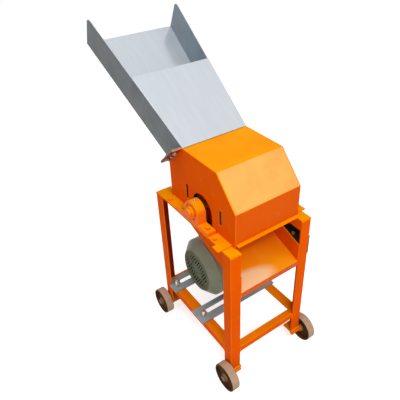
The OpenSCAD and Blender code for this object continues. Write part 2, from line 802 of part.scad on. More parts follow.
// Chute side wall, as high as the top rails at the back.
module chute_side(sx) {
    top = frame_top - angle_t;
    level = (top - chute_front_z - chute_wall) / chute_rise - half_d;
    drop = chute_t / cos(chute_slope);
    color("orange") placed() scale([sx, 1, 1]) slab_x(chute_half - chute_t, chute_t)
        polygon([[-half_d, chute_front_z - chute_lip], [-half_d, chute_front_z + chute_wall], [level, top],
            [chute_back, top], [chute_back, chute_back_z - drop],
            [-half_d + chute_lip, chute_front_z - drop + chute_lip * chute_rise]]);
}
module chute_wall_left() chute_side(-1);
module chute_wall_right() chute_side(1);

// Outline of the hood plate in Y and Z.
module hood_outline() {
    polygon([[-hood_front, frame_top], [-hood_front, front_top], [-roof_front, hood_top],
        [roof_back, hood_top],
        [hood_back, back_top], [hood_back, frame_top]]);
}
// Hood side plate with the cut-out that lets it lift over the shaft.
module hood_plate(sx) {
    mid = rotor_y - cutout_shift;
    top = frame_top + cutout_h - cutout_half;
    slot_z = frame_top + slot_up;
    color("orangered") placed() scale([sx, 1, 1]) slab_x(hood_half - hood_t, hood_t) difference() {
        hood_outline();
        translate([mid, top]) circle(r = cutout_half);
        translate([mid - cutout_half, frame_top - 1]) square([2 * cutout_half, top - frame_top + 1]);
        for (y = [rotor_y + slot_back, rotor_y - slot_front]) translate([y - slot_w / 2,
            slot_z]) square([slot_w, slot_h]);
    }
}
module hood_plate_left() hood_plate(-1);
module hood_plate_right() hood_plate(1);
// Bent sheet between the side plates: front lip, front face, slope and roof.
module hood_sheet() {
    inner = hood_half - hood_t;
    slope = atan2(hood_top - front_top, hood_front - roof_front);
    knee = hood_t * tan((90 - slope) / 2);
    ridge = hood_t * tan(slope / 2);
    lip_end = hood_front + front_lip;
    color("orange") placed() slab_x(-inner, 2 * inner)
        polygon([[-lip_end, front_bottom], [-lip_end, front_bottom + hood_t],
            [-hood_front, front_bottom + hood_t],
            [-hood_front, front_top], [-roof_front, hood_top], [roof_back, hood_top],
            [roof_back, hood_top - hood_t], [-roof_front + ridge, hood_top - hood_t],
            [-hood_front + hood_t, front_top - knee], [-hood_front + hood_t, front_bottom]]);
}
// Back face of the hood, under the inlet.
module hood_back_sheet() {
    inner = hood_half - hood_t;
    color("orange") placed() slab_x(-inner, 2 * inner)
        polygon([[hood_back - hood_t, frame_top], [hood_back, frame_top], [hood_back, back_top],
            [hood_back - hood_t, back_top + hood_t * tan(inlet_tilt)]]);
}
// Tabs along the feet of the side plates, the front ones with a lug over the rail edge.
module hood_tabs() {
    front = rotor_y - block_len / 2 - 6;
    back = rotor_y + block_len / 2 + 6;
    color("orange") placed() difference() {
        for (sx = [-1, 1]) scale([sx, 1, 1]) {
            block([hood_half, front - tab_len, frame_top], [half_w, front, frame_top + tab_t]);
            block([half_w - eps, front - tab_len, frame_top],
                [half_w + lug_out, front - tab_len + lug_len, frame_top + tab_t]);
            block([hood_half, back, frame_top], [half_w, back + tab_len, frame_top + tab_t]);
        }
        screw_places() bolt_hole(bolt_r, tab_t);
    }
}
// The places of the screws that hold the hood down.
module screw_places() {
    front = rotor_y - block_len / 2 - 6 - tab_len / 4;
    back = rotor_y + block_len / 2 + 6 + tab_len * 3 / 4;
    for (sx = [-1, 1], y = [front, back])
        translate([sx * (half_w - 12), y, frame_top + tab_t]) children();
}
module hood_screws() {
    color("silver") placed() screw_places() hex_bolt(bolt_r + bolt_hole_gap, tab_t + angle_t);
}

// Outline of both inlet flanges: a U round the opening with an ear on each side, open under the cover.
module flange_outline() {
    ear_half = hood_half + flange_ear;
    inner = hood_half - hood_t;
    difference() {
        union() {
            translate([-ear_half, 0]) square([ear_half - inner, ear_len]);
            translate([inner, ear_cut]) square([ear_half - inner, ear_len - ear_cut]);
            translate([-hood_half, flange_drop]) square([2 * hood_half, inlet_len - flange_drop]);
        }
        translate([-inner, 0]) square([2 * inner, tray_h / sin(lean)]);
        flange_bolt_places() circle(r = bolt_r + bolt_hole_gap, $fn = 24);
    }
}
// Three bolts in the long ear and two in the short one.
module flange_bolt_places() {
    bolt_x = hood_half + flange_ear / 2;
    for (k = [1 : 3]) translate([-bolt_x, k * ear_len / 4]) children();
    for (k = [1 : 2]) translate([bolt_x, ear_cut + k * (ear_len - ear_cut) / 3]) children();
}
module inlet_flange() {
    color("orangered") placed() on_inlet() linear_extrude(flange_t) flange_outline();
}
module tray_flange() {
    color("slategray") placed() on_inlet() translate([0, 0,
        flange_t]) linear_extrude(flange_t) flange_outline();
}
module flange_bolts() {
    color("silver") placed() on_inlet() flange_bolt_places() translate([0, 0, 2 * flange_t]) {
        hex_bolt(bolt_r, 2 * flange_t + 8);
        translate([0, 0, -2 * flange_t - head_h]) cylinder(r = 1.8 * bolt_r, h = head_h, $fn = 6);
    }
}
// Floor of the tray seen from above, widening up the slope.
module tray_plan(y0, y1, inset) {
    half0 = tray_wall_half - inset + y0 * tan(tray_flare);
    half1 = tray_wall_half - inset + y1 * tan(tray_flare);
    polygon([[-half0, y0], [half0, y0], [half1, y1], [-half1, y1]]);
}
// Side view of a tray wall, measured along its flare: leaning at the top end and rounded there.
module tray_side() {
    lean_out = 14;
    far = (tray_len + lean_out) / cos(tray_flare);
    near = tray_start / cos(tray_flare);
    end = tray_len / cos(tray_flare) - tray_t * tan(tray_flare);
    difference() {
        polygon([[0, 0], [near, -tray_h], [near, -tray_under], [end, -tray_under], [end, -tray_h],
            [far, 0]]);
        translate([far - tray_corner - 1, -tray_corner]) difference() {
            square(2 * tray_corner);
            circle(r = tray_corner);
        }
    }
}
// Feed tray: floor and two walls that spread towards the top end.
module feed_tray() {
    color("lightsteelblue") placed() on_tray() {
        translate([0, 0, -tray_under]) linear_extrude(tray_t)
            tray_plan(tray_start + side_gap, tray_len - side_gap, tray_t / 2);
        for (sx = [-1, 1]) scale([sx, 1, 1]) translate([tray_wall_half, 0, 0]) rotate([0, 0, -tray_flare])
            rotate([90, 0, 90]) translate([0, 0, -tray_t]) linear_extrude(tray_t)
                tray_side();
    }
}
// Cover plate over the lower part of the tray.
module tray_cover() {
    color("lightsteelblue") placed() on_tray() linear_extrude(tray_t) tray_plan(-cover_lap, cover_len, 0);
}
// Sill from the inlet to the cutting circle, ending in the fixed counter-knife.
module counter_knife() {
    inner = hood_half - hood_t;
    thick = 6;
    sill_y = tray_y + tray_start * cos(tray_slope) + tray_h * sin(tray_slope);
    sill_z = tray_z + tray_start * sin(tray_slope) - tray_h * cos(tray_slope);
    reach_y = sill_y - rotor_y;
    reach_z = sill_z - rotor_z;
    // Distance down the slope from the inlet to the cutting circle
    along = reach_y * cos(tray_slope) + reach_z * sin(tray_slope);
    off = reach_y * sin(tray_slope) - reach_z * cos(tray_slope);
    edge = along - sqrt(pow(knife_r + cut_gap, 2) - off * off);
    color("silver") placed() difference() {
        translate([0, sill_y, sill_z]) rotate([tray_slope, 0, 0])
            block([-inner, -edge, -thick], [inner, 0, 0]);
        on_inlet() block([-hood_half - 9, -50, 0], [hood_half + 9, 2 * inlet_len, 60]);
        translate([0, hood_back - hood_t, 0]) block([-hood_half, 0, 0], [hood_half, 100, 2 * hood_top]);
    }
}

// Hinge leaves on the tie, with two outer knuckles each.
module hinge_leaf_frame() {
    arm = hinge_len / 3;
    color("gray") placed() difference() {
        for (s = [-1, 1]) translate([s * hinge_pitch / 2, 0, 0]) union() {
            block([-hinge_len / 2, hinge_y + knuckle_r + 1, frame_top],
                [hinge_len / 2, half_d - 4, frame_top + leaf_t]);
            for (e = [-1, 1]) {
                bar_x(e * arm - arm / 2 + side_gap, e * arm + arm / 2 - side_gap, hinge_y, hinge_z,
                    knuckle_r);
                block([e * arm - arm / 2 + side_gap, hinge_y, frame_top],
                    [e * arm + arm / 2 - side_gap, hinge_y + knuckle_r + 1 + eps, frame_top + leaf_t]);
                block([e * arm - arm / 2 + side_gap, hinge_y, frame_top],
                    [e * arm + arm / 2 - side_gap, hinge_y + knuckle_r, hinge_z]);
            }
        }
        bar_x(-hinge_pitch, hinge_pitch, hinge_y, hinge_z, hinge_pin_r + run_gap);
    }
}
// Hinge leaves on the back of the hood, with the middle knuckles and the pins.
module hinge_leaf_hood() {
    arm = hinge_len / 3;
    color("gray") placed()
        for (s = [-1, 1]) translate([s * hinge_pitch / 2, 0, 0]) union() {
            block([-hinge_len / 2, hood_back, hinge_z + knuckle_r + 2],
                [hinge_len / 2, hood_back + leaf_t, hinge_z + leaf_h]);
            block([-arm / 2 + side_gap, hood_back, hinge_z - knuckle_r / 2],
                [arm / 2 - side_gap, hood_back + leaf_t, hinge_z + knuckle_r + 2 + eps]);
            block([-arm / 2 + side_gap, hood_back, hinge_z - knuckle_r / 2],
                [arm / 2 - side_gap, hinge_y, hinge_z + knuckle_r / 2]);
            bar_x(-arm / 2 + side_gap, arm / 2 - side_gap, hinge_y, hinge_z, knuckle_r);
            bar_x(-hinge_len / 2 - 2, hinge_len / 2 + 2, hinge_y, hinge_z, hinge_pin_r);
        }
}

// Pulley with one belt groove.
module pulley(y, z, groove, bore) {
    groove_w = belt_w + 2;
    color("dimgray") placed() translate([0, y, z]) difference() {
        bar_x(pulley_left, pulley_right, 0, 0, groove + groove_depth);
        ring_x(pulley_mid - groove_w / 2, pulley_mid + groove_w / 2, groove + groove_depth + 1, groove);
        bar_x(pulley_left - 1, pulley_right + 1, 0, 0, bore);
    }
}
module rotor_pulley() pulley(rotor_y, rotor_z, rotor_groove_r, shaft_r);
module motor_pulley() pulley(motor_y, motor_z, motor_groove_r, motor_shaft_r);
// Outline round both pulleys with radius r1 at the rotor and r2 at the motor.
module belt_outline(r1, r2) {
    spread = acos((r1 - r2) / belt_len);
    in1 = r1 - 2 * eps;
    in2 = r2 - 2 * eps;
    translate([rotor_y, rotor_z]) rotate(belt_turn) union() {
        circle(r = r1);
        translate([belt_len, 0]) circle(r = r2);
        polygon([for (s = [-1, 1]) [in1 * cos(spread), s * in1 * sin(spread)],
            for (s = [1, -1]) [belt_len + in2 * cos(spread), s * in2 * sin(spread)]]);
    }
}
// Belt lying in both grooves.
module drive_belt() {
    r1 = rotor_groove_r + belt_gap;
    r2 = motor_groove_r + belt_gap;
    color("black") placed() slab_x(pulley_mid - belt_w / 2, belt_w) difference() {
        belt_outline(r1 + belt_t, r2 + belt_t);
        belt_outline(r1, r2);
    }
}
// Sheet guard over the belt, open towards the frame.
module belt_guard() {
    r1 = rotor_groove_r + groove_depth + guard_space;
    r2 = motor_groove_r + groove_depth + guard_space;
    color("black") placed() {
        slab_x(strap_out, guard_out - strap_out) difference() {
            belt_outline(r1 + guard_t, r2 + guard_t);
            belt_outline(r1, r2);
        }
        slab_x(guard_out - eps, guard_t) belt_outline(r1 + guard_t, r2 + guard_t);
    }
}
// Strap across the right-hand legs that carries the guard.
module guard_strap() {
    color("black") placed() difference() {
        block([half_w, -half_d, strap_z], [strap_out, half_d, strap_z + strap_h]);
        strap_bolt_places() rotate([0, 90, 0]) bolt_hole(bolt_r, strap_t);
        clip_bolt_place() rotate([0, 90, 0]) bolt_hole(bolt_r, strap_t);
    }
}
// The place of the single bolt between the legs.
module clip_bolt_place() {
    translate([strap_out, clip_inset - half_d, strap_z + clip_up]) children();
}
// Bolt and nut through t of material under Z = 0.
module through_bolt(t) {
    hex_bolt(bolt_r, t + head_h + 2);
    translate([0, 0, -t - head_h]) cylinder(r = 1.8 * bolt_r, h = head_h, $fn = 6);
}
module guard_bolts() {
    color("silver") placed() {
        strap_bolt_places() rotate([0, 90, 0]) through_bolt(strap_t + angle_t);
        clip_bolt_place() rotate([0, 90, 0]) through_bolt(strap_t);
    }
}

leg_front_left();
leg_front_right();
leg_back_left();
leg_back_right();
top_rail_left();
top_rail_right();
top_tie_back();
bottom_rail_left();
bottom_rail_right();
bottom_tie_front();
bottom_tie_back();
axle_feet();
axle_nuts();
motor_rail_front_bar();
motor_rail_back_bar();
rail_bolts();
motor_stator();
motor_feet();
motor_shield_drive();
motor_shield_fan();
fan_cover();
terminal_box();
terminal_lid();
motor_bolts();
bearing_block_left();
bearing_block_right();
bearing_bolts();
chute_floor();
chute_wall_left();
chute_wall_right();
belt_guard();
guard_strap();
guard_bolts();
drive_belt();
hinge_leaf_frame();
hood_sheet();
hood_back_sheet();
hood_plate_left();
hood_plate_right();
hood_tabs();
hood_screws();
inlet_flange();
tray_flange();
flange_bolts();
feed_tray();
tray_cover();
counter_knife();
hinge_leaf_hood();
rotor_shaft();
knife_carriers();
knives();
knife_bolts();
rotor_pulley();
motor_shaft();
motor_fan();
motor_pulley();
wheel_front_left();
wheel_front_right();
wheel_back_left();
wheel_back_right();
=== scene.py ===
"""Looks of a motor-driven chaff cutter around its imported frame, laid out as an add-on."""

import json
import math

import bpy
from mathutils import Matrix, Vector


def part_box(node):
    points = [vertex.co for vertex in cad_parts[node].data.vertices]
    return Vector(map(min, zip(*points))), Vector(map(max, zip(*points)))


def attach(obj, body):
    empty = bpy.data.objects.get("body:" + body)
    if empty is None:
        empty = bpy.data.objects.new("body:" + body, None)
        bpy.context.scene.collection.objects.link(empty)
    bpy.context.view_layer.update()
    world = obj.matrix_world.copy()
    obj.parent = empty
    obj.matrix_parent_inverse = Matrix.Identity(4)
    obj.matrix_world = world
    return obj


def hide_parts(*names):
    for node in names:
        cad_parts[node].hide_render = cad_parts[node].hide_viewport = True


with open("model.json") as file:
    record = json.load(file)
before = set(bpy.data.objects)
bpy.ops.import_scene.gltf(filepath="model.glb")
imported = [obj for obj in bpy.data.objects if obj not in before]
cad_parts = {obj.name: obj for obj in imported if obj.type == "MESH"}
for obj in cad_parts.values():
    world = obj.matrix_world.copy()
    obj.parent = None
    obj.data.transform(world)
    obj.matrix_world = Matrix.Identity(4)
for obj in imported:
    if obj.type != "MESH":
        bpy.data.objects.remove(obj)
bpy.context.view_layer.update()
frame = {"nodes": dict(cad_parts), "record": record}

bl_info = {
    "name": "Chaff Cutter",
    "version": (1, 0, 0),
    "blender": (4, 5, 0),
    "location": "View3D > Sidebar > Chaff Cutter",
    "description": "Dresses a motor-driven chaff cutter in paint and metal and sets up its studio",
    "category": "Object",
}

MM = 0.001
BODY_OF = {n: b for b, ns in frame["record"]["behaviour"]["bodies"].items() for n in ns}
# Middle of the wheeled frame along the feed direction
MID_Y = (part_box("leg_front_left")[0].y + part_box("leg_back_left")[1].y) / 2
MIDDLE = (0, MID_Y)
UP = (0, 0, 1)
# The way that the sloping face of the hood looks
HOOD_SLOPE = (0, -0.74, 0.67)
# A face looks squarely along a way, or more along it than not, when its normal reaches this far
SQUARELY, MOSTLY = 0.9, 0.5
# Faces that look up get a paler painted light from above, from the first of these reaches to the
# second
BLEACHED = (0.2, 0.62)
# Corners closer than this are one corner, and faces that meet flatter than this are one face
MERGED, FLAT = 0.002 * MM, math.radians(0.4)
# Edges sharper than these are rounded, shaded sharp, and shaded sharp on a small turned piece
ROUNDED, SHARP, SHARP_SMALL = math.radians(30), math.radians(40), math.radians(30)


def linear(code):
    """An sRGB hex colour as linear red, green, blue and alpha."""
    values = [int(code[i:i + 2], 16) / 255 for i in (0, 2, 4)]
    return tuple(v / 12.92 if v <= 0.04045 else ((v + 0.055) / 1.055) ** 2.4 for v in values) + (1.0,)


def colour(name, description, code):
    """A colour property with its default."""
    return bpy.props.FloatVectorProperty(
        name=name, description=description, subtype="COLOR", size=4, min=0, max=1,
        default=linear(code))


def length(name, description, millimetres):
    """A length property with its default in millimetres."""
    return bpy.props.FloatProperty(
        name=name, description=description, unit="LENGTH", min=0, default=millimetres * MM)


class CutterSizes(bpy.types.PropertyGroup):
    """Sizes of the finish that a user would change."""
    sheet_round: length("Sheet edges", "Rounding of cut sheet edges", 0.7)
    bar_round: length("Bar edges", "Rounding of rolled angle iron edges", 1.2)
    bar_thick: length("Bar inside", "Depth within which a face of an angle iron is its inside", 10)
    cast_round: length("Cast edges", "Rounding of cast bearing blocks and motor feet", 2.5)
    bolt_round: length("Bolt edges", "Chamfer on bolt heads and nuts", 0.6)
    wheel_round: length("Wheel edges", "Rounding of the wheel tread", 3)
    hub_radius: length("Wheel hub", "Reach of the scuffed wheel hub", 16)
    dish_radius: length("Wheel dish", "Reach of the soiled wheel dish", 49)
    weld_radius: length("Weld bead", "Radius of the weld beads", 2.4)
    weld_step: length("Weld ripple", "Spacing of the ripples in a weld bead", 2.8)
    screw_radius: length("Screw heads", "Radius of the button heads of the small screws", 4)
    thread_pitch: length("Thread pitch", "Spacing of the threads on the long bolts", 1.75)


class CutterColours(bpy.types.PropertyGroup):
    """Colours of the finishes."""
    orange: colour("Enamel", "Orange enamel on standing faces", "F25C00")
    # Painted light: enamel on faces that look up is paler
    amber: colour("Sun-bleached enamel", "Orange enamel on faces that look up", "F89C00")
    # Painted shade: enamel on faces that look up below the hood is deeper
    sheltered: colour("Sheltered enamel", "Orange enamel on faces that look up in the shade", "FF8206")
    sheet: colour("Tray sheet", "Bright sheet of the tray floor and cover", "C6CCD3")
    wall: colour("Tray walls", "Grey enamel on the tray walls", "62686B")
    rail: colour("Motor rails", "Grey enamel on the motor rails", "868E94")
    motor: colour("Motor", "Grey-green enamel on the motor", "8A937A")
    tread: colour("Wheel tread", "Cast resin of the wheel tread", "BFA287")
    wheel_face: colour("Wheel face", "Soiled face of the wheels", "4A2F16")


def deselect():
    """Leaves nothing selected, in object mode."""
    if bpy.context.mode != "OBJECT":
        bpy.ops.object.mode_set(mode="OBJECT")
    bpy.ops.object.select_all(action="DESELECT")


def activate(piece):
    """Makes one piece the only selected and active object."""
    deselect()
    piece.select_set(True)
    bpy.context.view_layer.objects.active = piece


def add(tree, kind, links, out, **settings):
    """Adds a node with its settings, links or sets its inputs, and gives one of its outputs."""
    made = tree.nodes.new(kind)
    for key, value in settings.items():
        setattr(made, key, value)
    for socket, value in links.items():
        if isinstance(value, bpy.types.NodeSocket):
            tree.links.new(value, made.inputs[socket])
        else:
            made.inputs[socket].default_value = value
    return made.outputs[out]


def finish(name, **sockets):
    """A new material with its node tree, its Principled shader and its texture coordinates."""
    made = bpy.data.materials.new(name)
    made.use_nodes = True
    tree = made.node_tree
    shader = tree.nodes["Principled BSDF"]
    for socket, value in sockets.items():
        shader.inputs[socket.replace("_", " ")].default_value = value
    place = tree.nodes.new("ShaderNodeTexCoord").outputs
    return made, tree, shader, place


def wire(tree, shader, base, rough, height, depth_mm, strength):
    """Feeds a shader its colour, its roughness and its relief of a depth in millimetres."""
    tree.links.new(base, shader.inputs["Base Color"])
    tree.links.new(rough, shader.inputs["Roughness"])
    bump = add(tree, "ShaderNodeBump",
               {"Height": height, "Distance": depth_mm * MM, "Strength": strength}, "Normal")
    tree.links.new(bump, shader.inputs["Normal"])


def blotches(tree, place, size_mm, cut, spread=(0.0, 1.0), detail=3.0):
    """Noise with features of a size in millimetres, cut between two levels and spread over a range."""
    noise = add(tree, "ShaderNodeTexNoise",
                {"Vector": place["Object"], "Scale": 1 / (size_mm * MM), "Detail": detail,
                 "Roughness": 0.6}, "Fac")
    return add(tree, "ShaderNodeMapRange",
               {"Value": noise, "From Min": cut[0], "From Max": cut[1],
                "To Min": spread[0], "To Max": spread[1]}, "Result", interpolation_type="SMOOTHSTEP")


def grain(tree, place, size_mm, stretch):
    """Noise with features of a size in millimetres, drawn out along an axis."""
    drawn = add(tree, "ShaderNodeMapping", {"Vector": place["Object"], "Scale": stretch}, "Vector")
    return add(tree, "ShaderNodeTexNoise",
               {"Vector": drawn, "Scale": 1 / (size_mm * MM), "Detail": 4.0}, "Fac")


def looking(tree, place, way, cut, most=1.0):
    """How far a face looks along a way of the object, spread from none to the most."""
    facing = add(tree, "ShaderNodeVectorMath", {0: place["Normal"], 1: way}, "Value",
                 operation="DOT_PRODUCT")
    return add(tree, "ShaderNodeMapRange",
               {"Value": facing, "From Min": cut[0], "From Max": cut[1], "To Max": most}, "Result")


def layered(tree, base, *layers):
    """A colour with others laid over it, each by its own amount."""
    for amount, tone in layers:
        base = add(tree, "ShaderNodeMix", {0: amount, 6: base, 7: tone}, 2, data_type="RGBA")
    return base


def enamel(name, standing, upward, gloss, dust, chips=0.0, sloping=None):
    """Sprayed enamel: a smooth thick film, slightly wavy, with painted light making faces that look up
    paler.
    """
    made, tree, shader, place = finish(name, Specular_IOR_Level=gloss)
    # Painted light from above on faces that look up, an uneven film in patches a hand wide, rubbed
    # streaks, and dust specks drawn at 6 mm so that they show
    layers = [
        (looking(tree, place, UP, BLEACHED), upward),
        (blotches(tree, place, 130, (0.35, 0.75), (0.0, 0.22)), linear("D84A00")),
        (blotches(tree, place, 35, (0.6, 0.78), (0.0, 0.22), detail=6.0), linear("FF9628")),
        (blotches(tree, place, 6, (0.66, 0.76), (0.0, dust), detail=2.0), linear("B0661C"))]
    if sloping:
        # The sloping face of the hood is palest: a painted reflection of the bright sky
        layers.insert(1, (looking(tree, place, HOOD_SLOPE, (0.9, 0.99)), sloping))
    if chips:
        # Primer where the film has worn off an edge, in spots about 9 mm long
        layers.append((blotches(tree, place, 9, (0.62, 0.66), (0.0, chips), detail=4.0),
                       linear("7A5A44")))
    # Orange peel of the sprayed film, drawn at 5 mm so that it shows
    wire(tree, shader, layered(tree, standing, *layers),
         rough=blotches(tree, place, 60, (0.3, 0.7), (0.24, 0.36)),
         height=blotches(tree, place, 5, (0.0, 1.0), detail=1.0), depth_mm=0.1, strength=0.2)
    return made


def chute_enamel():
    """Enamel polished by the falling chaff: glossy, with a pale painted reflection at the lip and
    painted shade at the upper end.
    """
    tones = bpy.context.scene.cutter_colours
    made, tree, shader, place = finish("orange enamel polished by chaff", Specular_IOR_Level=0.06)
    low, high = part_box("chute_floor")
    # Middle of the pale painted reflection, in from the low left corner of the floor, and its reach
    # along each axis
    heap = low + Vector((20, 22, 20)) * MM
    reach = Vector((150, 48, 48)) * MM
    inside = add(tree, "ShaderNodeMapping",
                 {"Vector": place["Object"], "Location": heap, "Scale": reach}, "Vector",
                 vector_type="TEXTURE")
    depth = add(tree, "ShaderNodeTexGradient", {"Vector": inside}, "Fac", gradient_type="SPHERICAL")
    rubbed = add(tree, "ShaderNodeMapRange",
                 {"Value": depth, "From Max": 0.3, "To Max": 0.85}, "Result")
    # Painted shade: the upper end, under the hood, is a deeper red
    along = add(tree, "ShaderNodeSeparateXYZ", {"Vector": place["Object"]}, "Y")
    first, last = (low.y + share * (high.y - low.y) for share in (0.08, 0.42))
    covered = add(tree, "ShaderNodeMapRange",
                  {"Value": along, "From Min": first, "From Max": last, "To Max": 0.85}, "Result")
    base = layered(
        tree, tuple(tones.orange),
        # Painted light on faces that look up
        (looking(tree, place, UP, BLEACHED), linear("FF960C")),
        (covered, linear("F03C04")),
        (blotches(tree, place, 40, (0.55, 0.75), (0.0, 0.3), detail=4.0), linear("FFA03C")),
        # Pale painted reflection near the lip
        (rubbed, linear("FFD0A0")),
        # Painted shade on faces that look to the front
        (looking(tree, place, (0, -1, 0), (0.6, 0.9)), linear("D8560C")))
    wire(tree, shader, base,
         rough=blotches(tree, place, 60, (0.3, 0.7), (0.16, 0.26)),
         height=blotches(tree, place, 5, (0.0, 1.0), detail=1.0), depth_mm=0.08, strength=0.2)
    return made


def bright_sheet():
    """Cold-rolled sheet worn bright by straw: half mirror, half satin, with faint rolling streaks."""
    made, tree, shader, place = finish("cold rolled sheet", Metallic=0.4)
    streaks = grain(tree, place, 14, (1.0, 0.12, 0.12))
    pale = add(tree, "ShaderNodeMapRange",
               {"Value": streaks, "From Min": 0.35, "From Max": 0.75, "To Max": 0.25}, "Result")
    base = layered(
        tree, tuple(bpy.context.scene.cutter_colours.sheet),
        (blotches(tree, place, 180, (0.3, 0.72), (0.0, 0.35)), linear("BFC5CD")),
        (pale, linear("D9DEE2")),
        (blotches(tree, place, 11, (0.7, 0.75), (0.0, 0.3), detail=2.0), linear("9AA0A6")))
    wire(tree, shader, base, rough=blotches(tree, place, 180, (0.3, 0.72), (0.18, 0.28)),
         height=streaks, depth_mm=0.03, strength=0.2)
    return made


def plain_enamel(name, tone, pale, dark, rough, grit_mm, gloss=0.3):
    """Dull enamel over cast or rolled metal, paler with dust on top and soiled in its low spots."""
    made, tree, shader, place = finish(name, Specular_IOR_Level=gloss)
    base = layered(
        tree, tuple(tone),
        (blotches(tree, place, 70, (0.32, 0.7), (0.0, 0.4)), linear(dark)),
        (looking(tree, place, UP, (0.2, 1.0), 0.45), linear(pale)),
        (blotches(tree, place, 12, (0.64, 0.72), (0.0, 0.35), detail=4.0), linear(pale)))
    wire(tree, shader, base,
         rough=blotches(tree, place, 70, (0.32, 0.7), (rough, rough + 0.15)),
         height=blotches(tree, place, grit_mm, (0.2, 0.8)), depth_mm=0.2, strength=0.35)
    return made


def metal(name, tone, shade, rough, grain_mm, stretch=(1, 1, 1)):
    """Bare metal, ground, plated or cast: grain of a size in millimetres under a duller tarnish."""
    made, tree, shader, place = finish(name, Metallic=1.0)
    marks = grain(tree, place, grain_mm, stretch)
    dull = add(tree, "ShaderNodeMapRange",
               {"Value": marks, "From Min": 0.3, "From Max": 0.7, "To Max": 0.5}, "Result")
    base = layered(
        tree, linear(tone),
        (dull, linear(shade)),
        (blotches(tree, place, 25, (0.4, 0.72), (0.0, 0.4)), linear(shade)))
    wire(tree, shader, base, rough=blotches(tree, place, 25, (0.4, 0.72), (rough, rough + 0.2)),
         height=marks, depth_mm=0.05, strength=0.3)
    return made


def belt_rubber():
    """Moulded rubber belt: matt black with cloth ribs 6 mm apart and grey dust."""
    made, tree, shader, place = finish("moulded belt rubber")
    rib_mm = 6
    ribs = add(tree, "ShaderNodeTexWave",
               {"Vector": place["Object"], "Scale": 1 / (2 * math.pi * rib_mm * MM),
                "Distortion": 0.4}, "Fac", bands_direction="Z")
    base = layered(tree, linear("1B1B1C"),
                   (blotches(tree, place, 30, (0.45, 0.75), (0.0, 0.4)), linear("4B4A47")))
    wire(tree, shader, base, rough=blotches(tree, place, 30, (0.45, 0.75), (0.65, 0.85)),
         height=ribs, depth_mm=0.3, strength=0.4)
    return made


def wheel_resin():
    """Cast resin wheel: tan tread polished by the floor, with darker brown faces."""
    made, tree, shader, place = finish("cast wheel resin", Specular_IOR_Level=0.03)
    tones = bpy.context.scene.cutter_colours
    soil = layered(tree, tuple(tones.wheel_face),
                   (blotches(tree, place, 18, (0.3, 0.7), detail=4.0), linear("4A3218")))
    base = layered(
        tree, tuple(tones.tread),
        (blotches(tree, place, 18, (0.3, 0.7), (0.0, 0.5), detail=4.0), linear("A4846A")),
        (looking(tree, place, (1, 0, 0), (0.35, 0.8)), soil),
        (looking(tree, place, (-1, 0, 0), (0.35, 0.8)), soil))
    wire(tree, shader, base, rough=blotches(tree, place, 18, (0.3, 0.7), (0.45, 0.7)),
         height=blotches(tree, place, 4, (0.1, 0.9)), depth_mm=0.25, strength=0.35)
    return made


FINISHES = {}


